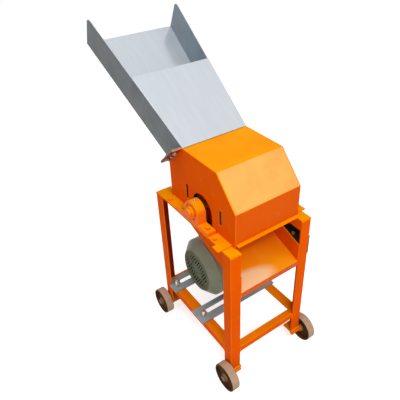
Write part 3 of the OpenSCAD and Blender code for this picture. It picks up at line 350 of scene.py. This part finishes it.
def prepare_finishes():
    """Makes every finish once."""
    tones = bpy.context.scene.cutter_colours
    orange, amber, sheltered = tuple(tones.orange), tuple(tones.amber), tuple(tones.sheltered)
    # Ground along the length of a shaft or a knife
    along_x = (0.05, 1, 1)
    FINISHES.update(
        # Spray on standing bars and plates: an even film with hardly a shine
        orange=enamel("orange enamel", orange, amber, gloss=0.004, dust=0.3),
        # Painted shade on the inside of the angles: dark red and dull
        orange_inside=enamel("thin orange enamel over red primer", linear("8E2404"), linear("A83C08"),
                             gloss=0.004, dust=0.3),
        # Film rubbed smooth on the hood: a soft shine, with a painted reflection making the slope
        # palest
        orange_hood=enamel("polished orange enamel", linear("E25A00"), amber, gloss=0.02, dust=0.25,
                           sloping=linear("F6AE58")),
        # Thick paint on rough castings: brighter as painted light on the blocks below the hood, with a
        # faint shine and more dust
        orange_cast=enamel("orange enamel on castings", linear("FF7408"), amber, gloss=0.06, dust=0.4),
        # Below the hood: faces that look up get a deeper orange, as painted shade
        orange_low=enamel("orange enamel in the shade", orange, sheltered, gloss=0.004, dust=0.35),
        # Painted highlight along edges: brighter, with chips down to the primer
        orange_edge=enamel("orange enamel at edges", linear("FF8200"), amber, gloss=0.012, dust=0.1,
                           chips=0.6),
        # Painted shade under the flange: brown and dull, with a painted highlight on faces that look
        # up, and some chips
        orange_soiled=enamel("soiled orange enamel", linear("8E3A10"), linear("D88A48"), gloss=0.02,
                             dust=0.4, chips=0.3),
        orange_chute=chute_enamel(),
        sheet=bright_sheet(),
        # Grey enamel on the outside of the tray: dull, a little blotched, and dark enough to stand
        # partly for painted shade
        wall=plain_enamel("grey enamel sheet", tones.wall, "7E8990", "565C60", rough=0.3, grit_mm=6),
        # The same enamel on the inside of the walls: paler with a painted reflection of the tray
        # floor, and smoother
        wall_inside=plain_enamel("grey enamel rubbed by straw", linear("7D8C97"), "8E9CA6", "6E7C86",
                                 rough=0.28, grit_mm=6),
        # Brushed enamel on rolled bar: mid grey with dust on top
        rail=plain_enamel("grey enamel bar", tones.rail, "B4BBC0", "6E767C", rough=0.35, grit_mm=5),
        # Enamel over sand-cast iron: grey-green, with a fine grit in the light
        motor=plain_enamel("grey-green enamel casting", tones.motor, "A2AA92", "6C7058",
                           rough=0.42, grit_mm=4),
        # The same enamel on the fan cover's face: darker with painted shade, and matt
        motor_face=plain_enamel("soiled grey-green enamel", linear("62654F"), "7A7D68", "484A3A",
                                rough=0.5, grit_mm=4, gloss=0.15),
        # Dipped enamel on sheet: near black, with grey dust on top
        black=plain_enamel("black enamel sheet", linear("121211"), "403D39", "0A0A0A",
                           rough=0.3, grit_mm=5, gloss=0.2),
        # Bright plating: silvery and a little cloudy
        zinc=metal("zinc plated steel", "D3D2C8", "A09F95", rough=0.28, grain_mm=3),
        # Plating with its yellow skin: pale gold and satin, pale enough to stand partly for a painted
        # glint
        yellow_zinc=plain_enamel("yellow passivated zinc", linear("E6D890"), "F2EAC0", "B8A868",
                                 rough=0.35, grit_mm=3),
        # Ground bar: bright, with fine lines along it
        steel=metal("ground shaft steel", "B9BDC1", "8A8F94", rough=0.22, grain_mm=2, stretch=along_x),
        # Forged and ground blade: dark grey, partly painted shade in the slots, with lines along it
        knife=metal("forged knife steel", "3E3C3A", "252321", rough=0.5, grain_mm=2, stretch=along_x),
        # Forged bar with its scale on: blue-black and rough, partly painted shade in the slots
        scale=metal("black forged steel", "343332", "1C1B1A", rough=0.55, grain_mm=3),
        # Plating that has weathered: lead grey without a mirror
        dull_zinc=metal("weathered zinc plating", "96938A", "6C6962", rough=0.45, grain_mm=3),
        # Bare nut that has rusted: brown with a dull gleam
        rusted=metal("rusted nut steel", "7D5F48", "4E3A2C", rough=0.55, grain_mm=3),
        # Turned grey iron: dark, coarse and dull
        iron=metal("cast iron", "55575A", "3A3B3D", rough=0.5, grain_mm=3),
        rubber=belt_rubber(),
        # Moulded plastic: near black and matt
        fan=plain_enamel("moulded fan plastic", linear("1E1F1B"), "2A2B27", "141512",
                         rough=0.6, grit_mm=4),
        resin=wheel_resin(),
        # Cast resin in the dish: dark brown and matt
        resin_dish=plain_enamel("soiled wheel resin", tones.wheel_face, "6A4A2C", "3E2812",
                                rough=0.5, grit_mm=4, gloss=0.03),
        # Cast resin scuffed by its nut: pale tan and matt
        resin_hub=plain_enamel("scuffed wheel resin", linear("96734F"), "B0906C", "6E5236",
                               rough=0.5, grit_mm=4, gloss=0.04),
    )


def dress(node, finish_name, rounding, edge=None, segments=2):
    """A merged copy of a CAD node with rounded edges and a finish, standing in for the node."""
    piece = bpy.data.objects.new(node + "_dressed", frame["nodes"][node].data.copy())
    bpy.context.scene.collection.objects.link(piece)
    activate(piece)
    piece.data.materials.clear()
    piece.data.materials.append(FINISHES[finish_name])
    if edge:
        piece.data.materials.append(FINISHES[edge])
    bpy.ops.mesh.customdata_custom_splitnormals_clear()
    bpy.ops.object.mode_set(mode="EDIT")
    bpy.ops.mesh.select_all(action="SELECT")
    bpy.ops.mesh.remove_doubles(threshold=MERGED)
    bpy.ops.mesh.dissolve_limited(angle_limit=FLAT)
    bpy.ops.object.mode_set(mode="OBJECT")
    for face in piece.data.polygons:
        face.material_index = 0
    bevel = piece.modifiers.new("rounding", "BEVEL")
    bevel.width = rounding
    bevel.segments = segments
    bevel.limit_method = "ANGLE"
    bevel.angle_limit = ROUNDED
    if edge:
        bevel.material = 1
    even = piece.modifiers.new("even shading", "WEIGHTED_NORMAL")
    even.keep_sharp = True
    bpy.ops.object.modifier_apply(modifier=bevel.name)
    bpy.ops.object.shade_smooth_by_angle(angle=SHARP)
    bpy.ops.object.modifier_apply(modifier=even.name)
    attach(piece, BODY_OF[node])
    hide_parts(node)
    return piece


def repaint(piece, finish_name, test):
    """Gives the faces of a dressed piece that pass a test another finish."""
    piece.data.materials.append(FINISHES[finish_name])
    for face in piece.data.polygons:
        if test(face):
            face.material_index = len(piece.data.materials) - 1


class CUTTER_OT_frame(bpy.types.Operator):
    """Dress the angle-iron frame"""
    bl_idname = "cutter.frame"
    bl_label = "Frame"

    def execute(self, context):
        size = context.scene.cutter_sizes

        def inside(face, low, high):
            """Whether a face of a leg is on the inside of its angle."""
            axis = max((0, 1), key=lambda way: abs(face.normal[way]))
            centre = (low + high)[axis] / 2
            outer = high if centre > MIDDLE[axis] else low
            inward = face.normal[axis] * (centre - MIDDLE[axis]) < 0
            depth = abs(face.center[axis] - outer[axis])
            return inward and abs(face.normal[axis]) > SQUARELY and depth < size.bar_thick

        for node in frame["nodes"]:
            if node.startswith("leg_"):
                leg = dress(node, "orange", size.bar_round, "orange_edge")
                low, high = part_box(node)
                # Painted shade on the inside of the angle
                repaint(leg, "orange_inside", lambda face: inside(face, low, high))
            elif node.startswith("top_"):
                dress(node, "orange", size.bar_round, "orange_edge")
            elif node.startswith("bottom_"):
                dress(node, "orange_low", size.bar_round, "orange_edge")
        dress("axle_feet", "orange", size.sheet_round, "orange_edge")
        for node in ("motor_rail_front_bar", "motor_rail_back_bar"):
            dress(node, "rail", size.bar_round)
        return {"FINISHED"}


class CUTTER_OT_hood(bpy.types.Operator):
    """Dress the hood, its flange and hinges, and the counter-knife"""
    bl_idname = "cutter.hood"
    bl_label = "Hood"

    def execute(self, context):
        size = context.scene.cutter_sizes
        dress("hood_sheet", "orange_hood", size.sheet_round, "orange_edge")
        for node in ("hood_back_sheet", "hood_plate_left", "hood_plate_right", "hood_tabs"):
            dress(node, "orange", size.sheet_round, "orange_edge")
        # The inlet flange is dark with painted shade
        dress("inlet_flange", "orange_soiled", size.sheet_round)
        for node in ("hinge_leaf_frame", "hinge_leaf_hood"):
            dress(node, "zinc", size.sheet_round)
        # The black counter-knife is partly painted shade in the slots
        dress("counter_knife", "scale", size.sheet_round)
        return {"FINISHED"}


class CUTTER_OT_tray(bpy.types.Operator):
    """Dress the feed tray, its cover and its flange"""
    bl_idname = "cutter.tray"
    bl_label = "Feed tray"

    def execute(self, context):
        size = context.scene.cutter_sizes

        def wall(face, outside):
            """Whether a face of the tray is on that side of a side wall."""
            return abs(face.normal.x) > MOSTLY and (face.normal.x * face.center.x > 0) == outside

        def sheared(face):
            """Whether a face of the cover is a cut that looks to the front and not up."""
            return face.normal.y < -0.6 and face.normal.z < 0.3

        tray = dress("feed_tray", "sheet", size.sheet_round)
        # The darker grey on the walls is partly painted shade
        repaint(tray, "wall", lambda face: wall(face, True))
        # Painted reflection: the inside of the walls is paler
        repaint(tray, "wall_inside", lambda face: wall(face, False))
        cover = dress("tray_cover", "sheet", size.sheet_round)
        # The sheared end of the cover has rusted dark
        repaint(cover, "wall", sheared)
        dress("tray_flange", "wall", size.sheet_round)
        return {"FINISHED"}


class CUTTER_OT_chute(bpy.types.Operator):
    """Dress the discharge chute"""
    bl_idname = "cutter.chute"
    bl_label = "Chute"

    def execute(self, context):
        size = context.scene.cutter_sizes
        dress("chute_floor", "orange_chute", size.sheet_round, "orange_edge")
        for node in ("chute_wall_left", "chute_wall_right"):
            dress(node, "orange_low", size.sheet_round, "orange_edge")
        return {"FINISHED"}


class CUTTER_OT_rotor(bpy.types.Operator):
    """Dress the knife rotor and its bearing blocks"""
    bl_idname = "cutter.rotor"
    bl_label = "Rotor"

    def execute(self, context):
        size = context.scene.cutter_sizes
        for node in ("bearing_block_left", "bearing_block_right"):
            # The bearing blocks are brighter with painted light
            dress(node, "orange_cast", size.cast_round, "orange_edge", segments=3)
        shaft = dress("rotor_shaft", "steel", size.bolt_round)
        # The free end was sprayed together with its bearing
        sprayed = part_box("bearing_block_left")[1].x
        repaint(shaft, "orange_cast", lambda face: face.center.x < sprayed)
        dress("knife_carriers", "orange_low", size.bar_round)
        # The dark knives are partly painted shade in the slots
        dress("knives", "knife", size.bolt_round)
        return {"FINISHED"}


class CUTTER_OT_motor(bpy.types.Operator):
    """Dress the motor"""
    bl_idname = "cutter.motor"
    bl_label = "Motor"

    def execute(self, context):
        size = context.scene.cutter_sizes
        for node in ("motor_stator", "motor_shield_drive", "motor_shield_fan",
                     "terminal_box", "terminal_lid"):
            dress(node, "motor", size.bar_round)
        dress("motor_feet", "motor", size.cast_round)
        cover = dress("fan_cover", "motor", size.sheet_round)
        # Painted shade darkens the face of the grille
        repaint(cover, "motor_face", lambda face: face.normal.x < -SQUARELY)
        dress("motor_shaft", "steel", size.bolt_round)
        dress("motor_fan", "fan", size.sheet_round)
        return {"FINISHED"}


class CUTTER_OT_drive(bpy.types.Operator):
    """Dress the belt drive and its guard"""
    bl_idname = "cutter.drive"
    bl_label = "Belt drive"

    def execute(self, context):
        size = context.scene.cutter_sizes
        for node in ("rotor_pulley", "motor_pulley"):
            dress(node, "iron", size.bar_round)
        dress("drive_belt", "rubber", size.sheet_round)
        for node in ("belt_guard", "guard_strap"):
            dress(node, "black", size.sheet_round)
        return {"FINISHED"}


class CUTTER_OT_wheels(bpy.types.Operator):
    """Dress the wheels"""
    bl_idname = "cutter.wheels"
    bl_label = "Wheels"

    def execute(self, context):
        size = context.scene.cutter_sizes
        for node in frame["nodes"]:
            if node.startswith("wheel_"):
                wheel = dress(node, "resin", size.wheel_round, segments=3)
                low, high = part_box(node)
                middle = (low + high) / 2
                reach = [(corner.co - middle).yz.length for corner in wheel.data.vertices]
                # The dish is darker brown, and the hub is scuffed pale by its nut
                for finish_name, radius in (("resin_dish", size.dish_radius),
                                            ("resin_hub", size.hub_radius)):
                    repaint(wheel, finish_name,
                            lambda face: max(reach[corner] for corner in face.vertices) < radius)
        return {"FINISHED"}


class CUTTER_OT_fasteners(bpy.types.Operator):
    """Dress the bolts, screws and nuts"""
    bl_idname = "cutter.fasteners"
    bl_label = "Fasteners"

    def execute(self, context):
        size = context.scene.cutter_sizes
        for node in ("rail_bolts", "motor_bolts"):
            dress(node, "zinc", size.bolt_round)
        # The pale guard bolts are partly a painted glint
        dress("guard_bolts", "yellow_zinc", size.bolt_round)
        for node in ("flange_bolts", "knife_bolts"):
            dress(node, "dull_zinc", size.bolt_round)
        dress("axle_nuts", "rusted", size.bolt_round)
        for node in ("bearing_bolts", "hood_screws"):
            dress(node, "orange", size.bolt_round, "orange_edge")
        return {"FINISHED"}


def begin(name, primitive, **shape):
    """Starts a piece from a primitive at the origin."""
    deselect()
    getattr(bpy.ops.mesh, primitive + "_add")(**shape)
    piece = bpy.context.object
    piece.name = name
    return piece


def stepped(name, sides, radius, depth, steps):
    """A prism whose top face is inset and drawn up or down in steps."""
    piece = begin(name, "primitive_cylinder", vertices=sides, radius=radius, depth=depth)
    bpy.ops.object.mode_set(mode="EDIT")
    bpy.ops.mesh.select_mode(type="FACE")
    bpy.ops.mesh.select_all(action="DESELECT")
    bpy.ops.object.mode_set(mode="OBJECT")
    for face in piece.data.polygons:
        face.select = face.normal.z > SQUARELY
    bpy.ops.object.mode_set(mode="EDIT")
    for inset, rise in steps:
        bpy.ops.mesh.inset(thickness=inset)
        bpy.ops.mesh.extrude_region_move(TRANSFORM_OT_translate={"value": (0, 0, rise)})
    bpy.ops.object.mode_set(mode="OBJECT")
    return piece


def repeat(piece, count, step):
    """Repeats a piece in a row, each time moved by a step."""
    row = piece.modifiers.new("row", "ARRAY")
    row.use_relative_offset = False
    row.use_constant_offset = True
    row.count = count
    row.constant_offset_displace = step
    bpy.ops.object.modifier_apply(modifier=row.name)


def joined(name, pieces):
    """Pieces made one, under a name."""
    activate(pieces[0])
    if len(pieces) > 1:
        for piece in pieces:
            piece.select_set(True)
        bpy.ops.object.join()
    pieces[0].name = name
    return pieces[0]


def spread_out(piece, places):
    """Copies a piece to each place, joins the copies and takes the first one away."""
    made = []
    for place in places:
        made.append(piece.copy())
        made[-1].data = piece.data.copy()
        made[-1].data.transform(place)
        bpy.context.scene.collection.objects.link(made[-1])
    name = piece.name
    bpy.data.objects.remove(piece)
    return joined(name, made)


def complete(piece, body, finish_name, sharp):
    """Shades a new piece, gives it its finish and ties it to its body."""
    activate(piece)
    bpy.ops.object.shade_smooth_by_angle(angle=sharp)
    piece.data.materials.clear()
    piece.data.materials.append(FINISHES[finish_name])
    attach(piece, body)


def upright(x, y, z):
    """A place whose Z stays up."""
    return Matrix.Translation((x, y, z))


def turned(place, way):
    """A place whose Z points along a way."""
    return Matrix.Translation(place) @ Vector(way).to_track_quat("Z", "Y").to_matrix().to_4x4()


def weld(name, lines, body):
    """Weld beads along lines: rows of overlapping ripples, sprayed over with the frame."""
    size = bpy.context.scene.cutter_sizes
    # Each ripple is a small ball pressed a little flat
    pressed = (1, 1, 0.8)
    beads = []
    for start, end in lines:
        run = Vector(end) - Vector(start)
        ripple = begin(name, "primitive_uv_sphere", segments=10, ring_count=6, radius=size.weld_radius)
        bpy.ops.object.mode_set(mode="EDIT")
        bpy.ops.mesh.select_all(action="SELECT")
        bpy.ops.transform.resize(value=pressed)
        bpy.ops.transform.translate(value=start)
        bpy.ops.object.mode_set(mode="OBJECT")
        count = int(run.length / size.weld_step) + 1
        repeat(ripple, count, run / max(count - 1, 1))
        beads.append(ripple)
    complete(joined(name, beads), body, "orange", SHARP)


def button_screws(name, places, body):
    """Zinc plated button-head screws with a round socket."""
    radius = bpy.context.scene.cutter_sizes.screw_radius
    # The head narrows and rises, then the socket goes down into it, as shares of its radius
    steps = [(share * radius, rise * radius) for share, rise in ((0.3, 0.3), (0.3, -0.45))]
    screw = stepped(name, sides=18, radius=radius, depth=0.5 * radius, steps=steps)
    complete(spread_out(screw, places), body, "zinc", SHARP_SMALL)


class CUTTER_OT_welds(bpy.types.Operator):
    """Weld the frame and the hood together"""
    bl_idname = "cutter.welds"
    bl_label = "Welds"

    def execute(self, context):
        lines = []
        low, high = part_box("leg_front_left")[0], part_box("leg_back_right")[1]
        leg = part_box("leg_front_left")[1].x - low.x
        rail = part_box("bottom_rail_left")
        ties = {-1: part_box("bottom_tie_front"), 1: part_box("bottom_tie_back")}
        for sx, x in ((-1, low.x), (1, high.x)):
            for sy, y in ((-1, low.y), (1, high.y)):
                inner_x, inner_y = x - sx * leg, y - sy * leg
                tie = ties[sy]
                lines += [((x, inner_y, rail[0].z), (x, inner_y, rail[1].z)),
                          ((x, inner_y, rail[1].z), (inner_x, inner_y, rail[1].z)),
                          ((inner_x, y, tie[0].z), (inner_x, y, tie[1].z)),
                          ((x, y, low.z), (inner_x, y, low.z)),
                          ((inner_x, y, high.z), (x, y, high.z))]
        weld("frame_welds", lines, "frame")
        first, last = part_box("hood_tabs")
        # Length of the seam on each tab
        tab = 72 * MM
        lines = []
        for x in (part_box("hood_plate_left")[0].x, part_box("hood_plate_right")[1].x):
            lines += [((x, first.y, last.z), (x, first.y + tab, last.z)),
                      ((x, last.y - tab, last.z), (x, last.y, last.z))]
        weld("hood_welds", lines, "hood")
        return {"FINISHED"}


class CUTTER_OT_screws(bpy.types.Operator):
    """Put in the small screws of the hinges, the terminal lid and the fan cover"""
    bl_idname = "cutter.screws"
    bl_label = "Small screws"

    def execute(self, context):
        # Two hinges each stand this far from the middle, with two screws in each leaf,
        # on each side of the middle of the leaf and in from its free edge
        hinge_x, beside, leaf = 75 * MM, 22 * MM, 3 * MM
        frame_edge, hood_edge, lid_edge, cover_edge = 10 * MM, 12 * MM, 8 * MM, 6 * MM
        across = [side * (hinge_x + way * beside) for side in (-1, 1) for way in (-1, 1)]
        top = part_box("top_tie_back")[1].z + leaf
        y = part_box("hinge_leaf_frame")[1].y - frame_edge
        button_screws("hinge_screws_frame", [upright(x, y, top) for x in across], "frame")
        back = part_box("hood_back_sheet")[1].y + leaf
        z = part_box("hinge_leaf_hood")[1].z - hood_edge
        button_screws("hinge_screws_hood", [turned((x, back, z), (0, 1, 0)) for x in across], "hood")
        low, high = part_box("terminal_lid")
        corners = [upright(x, y, high.z) for x in (low.x + lid_edge, high.x - lid_edge)
                   for y in (low.y + lid_edge, high.y - lid_edge)]
        button_screws("lid_screws", corners, "frame")
        low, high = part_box("fan_cover")
        middle = (low + high) / 2
        centre = Vector((high.x - cover_edge, middle.y, middle.z))
        reach = (high.z - low.z) / 2
        turns = map(math.radians, (40, 140, 220, 320))
        ways = [(0, math.cos(turn), math.sin(turn)) for turn in turns]
        round_rim = [turned(centre + reach * Vector(way), way) for way in ways]
        button_screws("fan_cover_screws", round_rim, "frame")
        return {"FINISHED"}


class CUTTER_OT_nipples(bpy.types.Operator):
    """Put a grease nipple on each bearing block"""
    bl_idname = "cutter.nipples"
    bl_label = "Grease nipples"

    def execute(self, context):
        # Six-sided foot, then the neck, the flare, the ball and its rounded tip
        radius, foot, proud = 4.5 * MM, 4 * MM, 1 * MM
        profile = ((1.6, 3), (0.8, 1), (-0.7, 1.2), (0.9, 0.8))
        steps = [(inset * MM, rise * MM) for inset, rise in profile]
        nipple = stepped("grease_nipples", sides=6, radius=radius, depth=foot, steps=steps)
        places = []
        for node in ("bearing_block_left", "bearing_block_right"):
            low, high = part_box(node)
            places.append(upright((low.x + high.x) / 2, (low.y + high.y) / 2, high.z + proud))
        complete(spread_out(nipple, places), "frame", "zinc", SHARP_SMALL)
        return {"FINISHED"}


class CUTTER_OT_gland(bpy.types.Operator):
    """Put the plugged cable gland on the terminal box"""
    bl_idname = "cutter.gland"
    bl_label = "Cable gland"

    def execute(self, context):
        # Six-sided body, then the cap, its top and the plug sunk into it
        radius, body = 13 * MM, 8 * MM
        profile = ((2, 6), (1.5, 5), (2.5, -3))
        steps = [(inset * MM, rise * MM) for inset, rise in profile]
        gland = stepped("cable_gland", sides=6, radius=radius, depth=body, steps=steps)
        low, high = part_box("terminal_box")
        # It stands out to the left, below the lid
        proud, below = 3 * MM, 15 * MM
        place = turned((low.x - proud, (low.y + high.y) / 2, high.z - below), (-1, 0, 0))
        complete(spread_out(gland, [place]), "frame", "fan", SHARP_SMALL)
        return {"FINISHED"}


class CUTTER_OT_threads(bpy.types.Operator):
    """Cut threads on the studs that stand up from the motor rails"""
    bl_idname = "cutter.threads"
    bl_label = "Stud threads"

    def execute(self, context):
        pitch = context.scene.cutter_sizes.thread_pitch
        low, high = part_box("rail_bolts")
        stud_radius, nut_corner, turns = 5 * MM, 9 * MM, 7
        nut_flat = nut_corner * math.cos(math.radians(30))
        # One turn of the thread as a ring: its crest, its width and its chamfer as shares of the pitch
        crest, wide, chamfer = 0.35 * pitch, 0.8 * pitch, 0.32 * pitch
        ring = begin("stud_threads", "primitive_cylinder", vertices=20, radius=stud_radius + crest,
                     depth=wide)
        bpy.ops.object.mode_set(mode="EDIT")
        bpy.ops.mesh.select_all(action="SELECT")
        bpy.ops.mesh.bevel(offset=chamfer, segments=1, affect="EDGES")
        bpy.ops.object.mode_set(mode="OBJECT")
        repeat(ring, turns, (0, 0, -pitch))
        # The first turn leaves the end of the stud plain
        top = high.z - 1.5 * pitch
        places = [upright(x, y, top) for x in (low.x + nut_corner, high.x - nut_corner)
                  for y in (low.y + nut_flat, high.y - nut_flat)]
        complete(spread_out(ring, places), "frame", "zinc", SHARP_SMALL)
        return {"FINISHED"}


# Where the camera stands: degrees, metres and picture points, with its target from the frame's middle
CAMERA = {"azimuth": -33.91, "elevation": 33.87, "roll": -2.14, "distance": 1.45303,
          "focal_px": 452.34, "target": (-0.08279, 0.0, 0.70861), "centre_px": (209.24, 186.65)}
PICTURE_PX = 400
SENSOR_MM = 36
# Side of the floor and reach of the camera in metres
FLOOR_SIZE, VIEW_END = 30, 60
# Strength of the sky as plain light, and the glow of the floor and the sky where they are looked at
SKY_LIGHT, FLOOR_GLOW, SKY_GLOW = 0.38, 0.62, 1.0
# Where each lamp stands and aims, in metres from the frame's middle, its width and height, and watts.
# The key lamp stands where the sloping face of the hood mirrors it to the camera
LAMPS = {
    "key": ((1.344, -1.571, 2.161), (0, -0.15, 0.78), (0.95, 0.6), 9),
    "top": ((-0.5, 0.1, 3.0), (0, 0, 0.6), (1.6, 1.6), 18),
    "left": ((-2.2, -0.5, 0.9), (0, 0, 0.6), (1.6, 1.2), 3),
    "front": ((-0.42, -1.58, 2.2), (0, 0, 0.6), (0.8, 0.6), 23.5),
}


def from_middle(x, y, z):
    """A point measured from the middle of the frame."""
    return Vector((x, y + MID_Y, z))


def area_light(name, place, target, size, power):
    """A rectangular soft lamp aimed at a point."""
    lamp = bpy.data.lights.new(name, "AREA")
    lamp.shape = "RECTANGLE"
    lamp.size, lamp.size_y = size
    lamp.energy = power
    made = bpy.data.objects.new(name, lamp)
    bpy.context.scene.collection.objects.link(made)
    made.location = place
    made.rotation_euler = (target - place).to_track_quat("-Z", "Y").to_euler()


def seen_as(tree, unseen, seen):
    """A strength as plain light, and another where the camera, a gloss or a glass looks at it."""
    path = tree.nodes.new("ShaderNodeLightPath").outputs
    either = add(tree, "ShaderNodeMath", {0: path["Is Camera Ray"], 1: path["Is Glossy Ray"]}, "Value",
                 operation="MAXIMUM")
    any_of = add(tree, "ShaderNodeMath", {0: either, 1: path["Is Transmission Ray"]}, "Value",
                 operation="MAXIMUM")
    return add(tree, "ShaderNodeMapRange", {"Value": any_of, "To Min": unseen, "To Max": seen},
               "Result")


class CUTTER_OT_stage(bpy.types.Operator):
    """Set up the floor, the light and the camera"""
    bl_idname = "cutter.stage"
    bl_label = "Stage"

    def execute(self, context):
        scene = context.scene
        deselect()
        bpy.ops.mesh.primitive_plane_add(size=FLOOR_SIZE, location=(0, 0, 0))
        floor = context.object
        floor.name = "studio_floor"
        # Chalky paint, a shade off white in wide patches, so that the shadow lies soft on it
        made, tree, shader, place = finish("matt studio floor", Roughness=0.9, Specular_IOR_Level=0.1)
        shade = layered(tree, linear("F7F7F6"),
                        (blotches(tree, place, 400, (0.3, 0.7)), linear("F9F9F8")))
        tree.links.new(shade, shader.inputs["Base Color"])
        shader.inputs["Emission Color"].default_value = (1, 1, 1, 1)
        # A little glow where the floor is looked at lifts it to white and keeps the shadow
        tree.links.new(seen_as(tree, 0.0, FLOOR_GLOW), shader.inputs["Emission Strength"])
        floor.data.materials.append(made)
        world = bpy.data.worlds.new("studio")
        scene.world = world
        world.use_nodes = True
        sky = world.node_tree
        back = sky.nodes["Background"]
        back.inputs["Color"].default_value = (1, 1, 1, 1)
        sky.links.new(seen_as(sky, SKY_LIGHT, SKY_GLOW), back.inputs["Strength"])
        for name, (stand, aim, size, power) in LAMPS.items():
            area_light(name, from_middle(*stand), from_middle(*aim), size, power)
        data = bpy.data.cameras.new("photo_camera")
        camera = bpy.data.objects.new("photo_camera", data)
        scene.collection.objects.link(camera)
        scene.camera = camera
        turn, lift = math.radians(CAMERA["azimuth"]), math.radians(CAMERA["elevation"])
        back_way = Vector((math.sin(turn) * math.cos(lift), -math.cos(turn) * math.cos(lift),
                           math.sin(lift)))
        camera.location = from_middle(*CAMERA["target"]) + CAMERA["distance"] * back_way
        aim = (-back_way).to_track_quat("-Z", "Y").to_matrix().to_4x4()
        roll = Matrix.Rotation(math.radians(CAMERA["roll"]), 4, "Z")
        camera.rotation_euler = (aim @ roll).to_euler()
        data.sensor_width = SENSOR_MM
        data.lens = CAMERA["focal_px"] / PICTURE_PX * data.sensor_width
        data.shift_x = (PICTURE_PX / 2 - CAMERA["centre_px"][0]) / PICTURE_PX
        data.shift_y = (CAMERA["centre_px"][1] - PICTURE_PX / 2) / PICTURE_PX
        data.clip_end = VIEW_END
        scene.view_settings.view_transform = "Standard"
        return {"FINISHED"}


STEPS = (CUTTER_OT_frame, CUTTER_OT_hood, CUTTER_OT_tray, CUTTER_OT_chute, CUTTER_OT_rotor,
         CUTTER_OT_motor, CUTTER_OT_drive, CUTTER_OT_wheels, CUTTER_OT_fasteners, CUTTER_OT_welds,
         CUTTER_OT_screws, CUTTER_OT_nipples, CUTTER_OT_gland, CUTTER_OT_threads, CUTTER_OT_stage)


class CUTTER_PT_panel(bpy.types.Panel):
    """The steps that dress the cutter"""
    bl_idname = "CUTTER_PT_panel"
    bl_label = "Chaff Cutter"
    bl_space_type = "VIEW_3D"
    bl_region_type = "UI"
    bl_category = "Chaff Cutter"

    def draw(self, context):
        for group in (context.scene.cutter_sizes, context.scene.cutter_colours):
            for key in group.__annotations__:
                self.layout.prop(group, key)
        for step in STEPS:
            self.layout.operator(step.bl_idname)


CLASSES = (CutterSizes, CutterColours) + STEPS + (CUTTER_PT_panel,)


def register():
    for made in CLASSES:
        bpy.utils.register_class(made)
    bpy.types.Scene.cutter_sizes = bpy.props.PointerProperty(type=CutterSizes)
    bpy.types.Scene.cutter_colours = bpy.props.PointerProperty(type=CutterColours)


def unregister():
    del bpy.types.Scene.cutter_colours
    del bpy.types.Scene.cutter_sizes
    for made in reversed(CLASSES):
        bpy.utils.unregister_class(made)


def main():
    register()
    prepare_finishes()
    for step in STEPS:
        group, name = step.bl_idname.split(".")
        getattr(getattr(bpy.ops, group), name)()


if __name__ == "__main__":
    main()
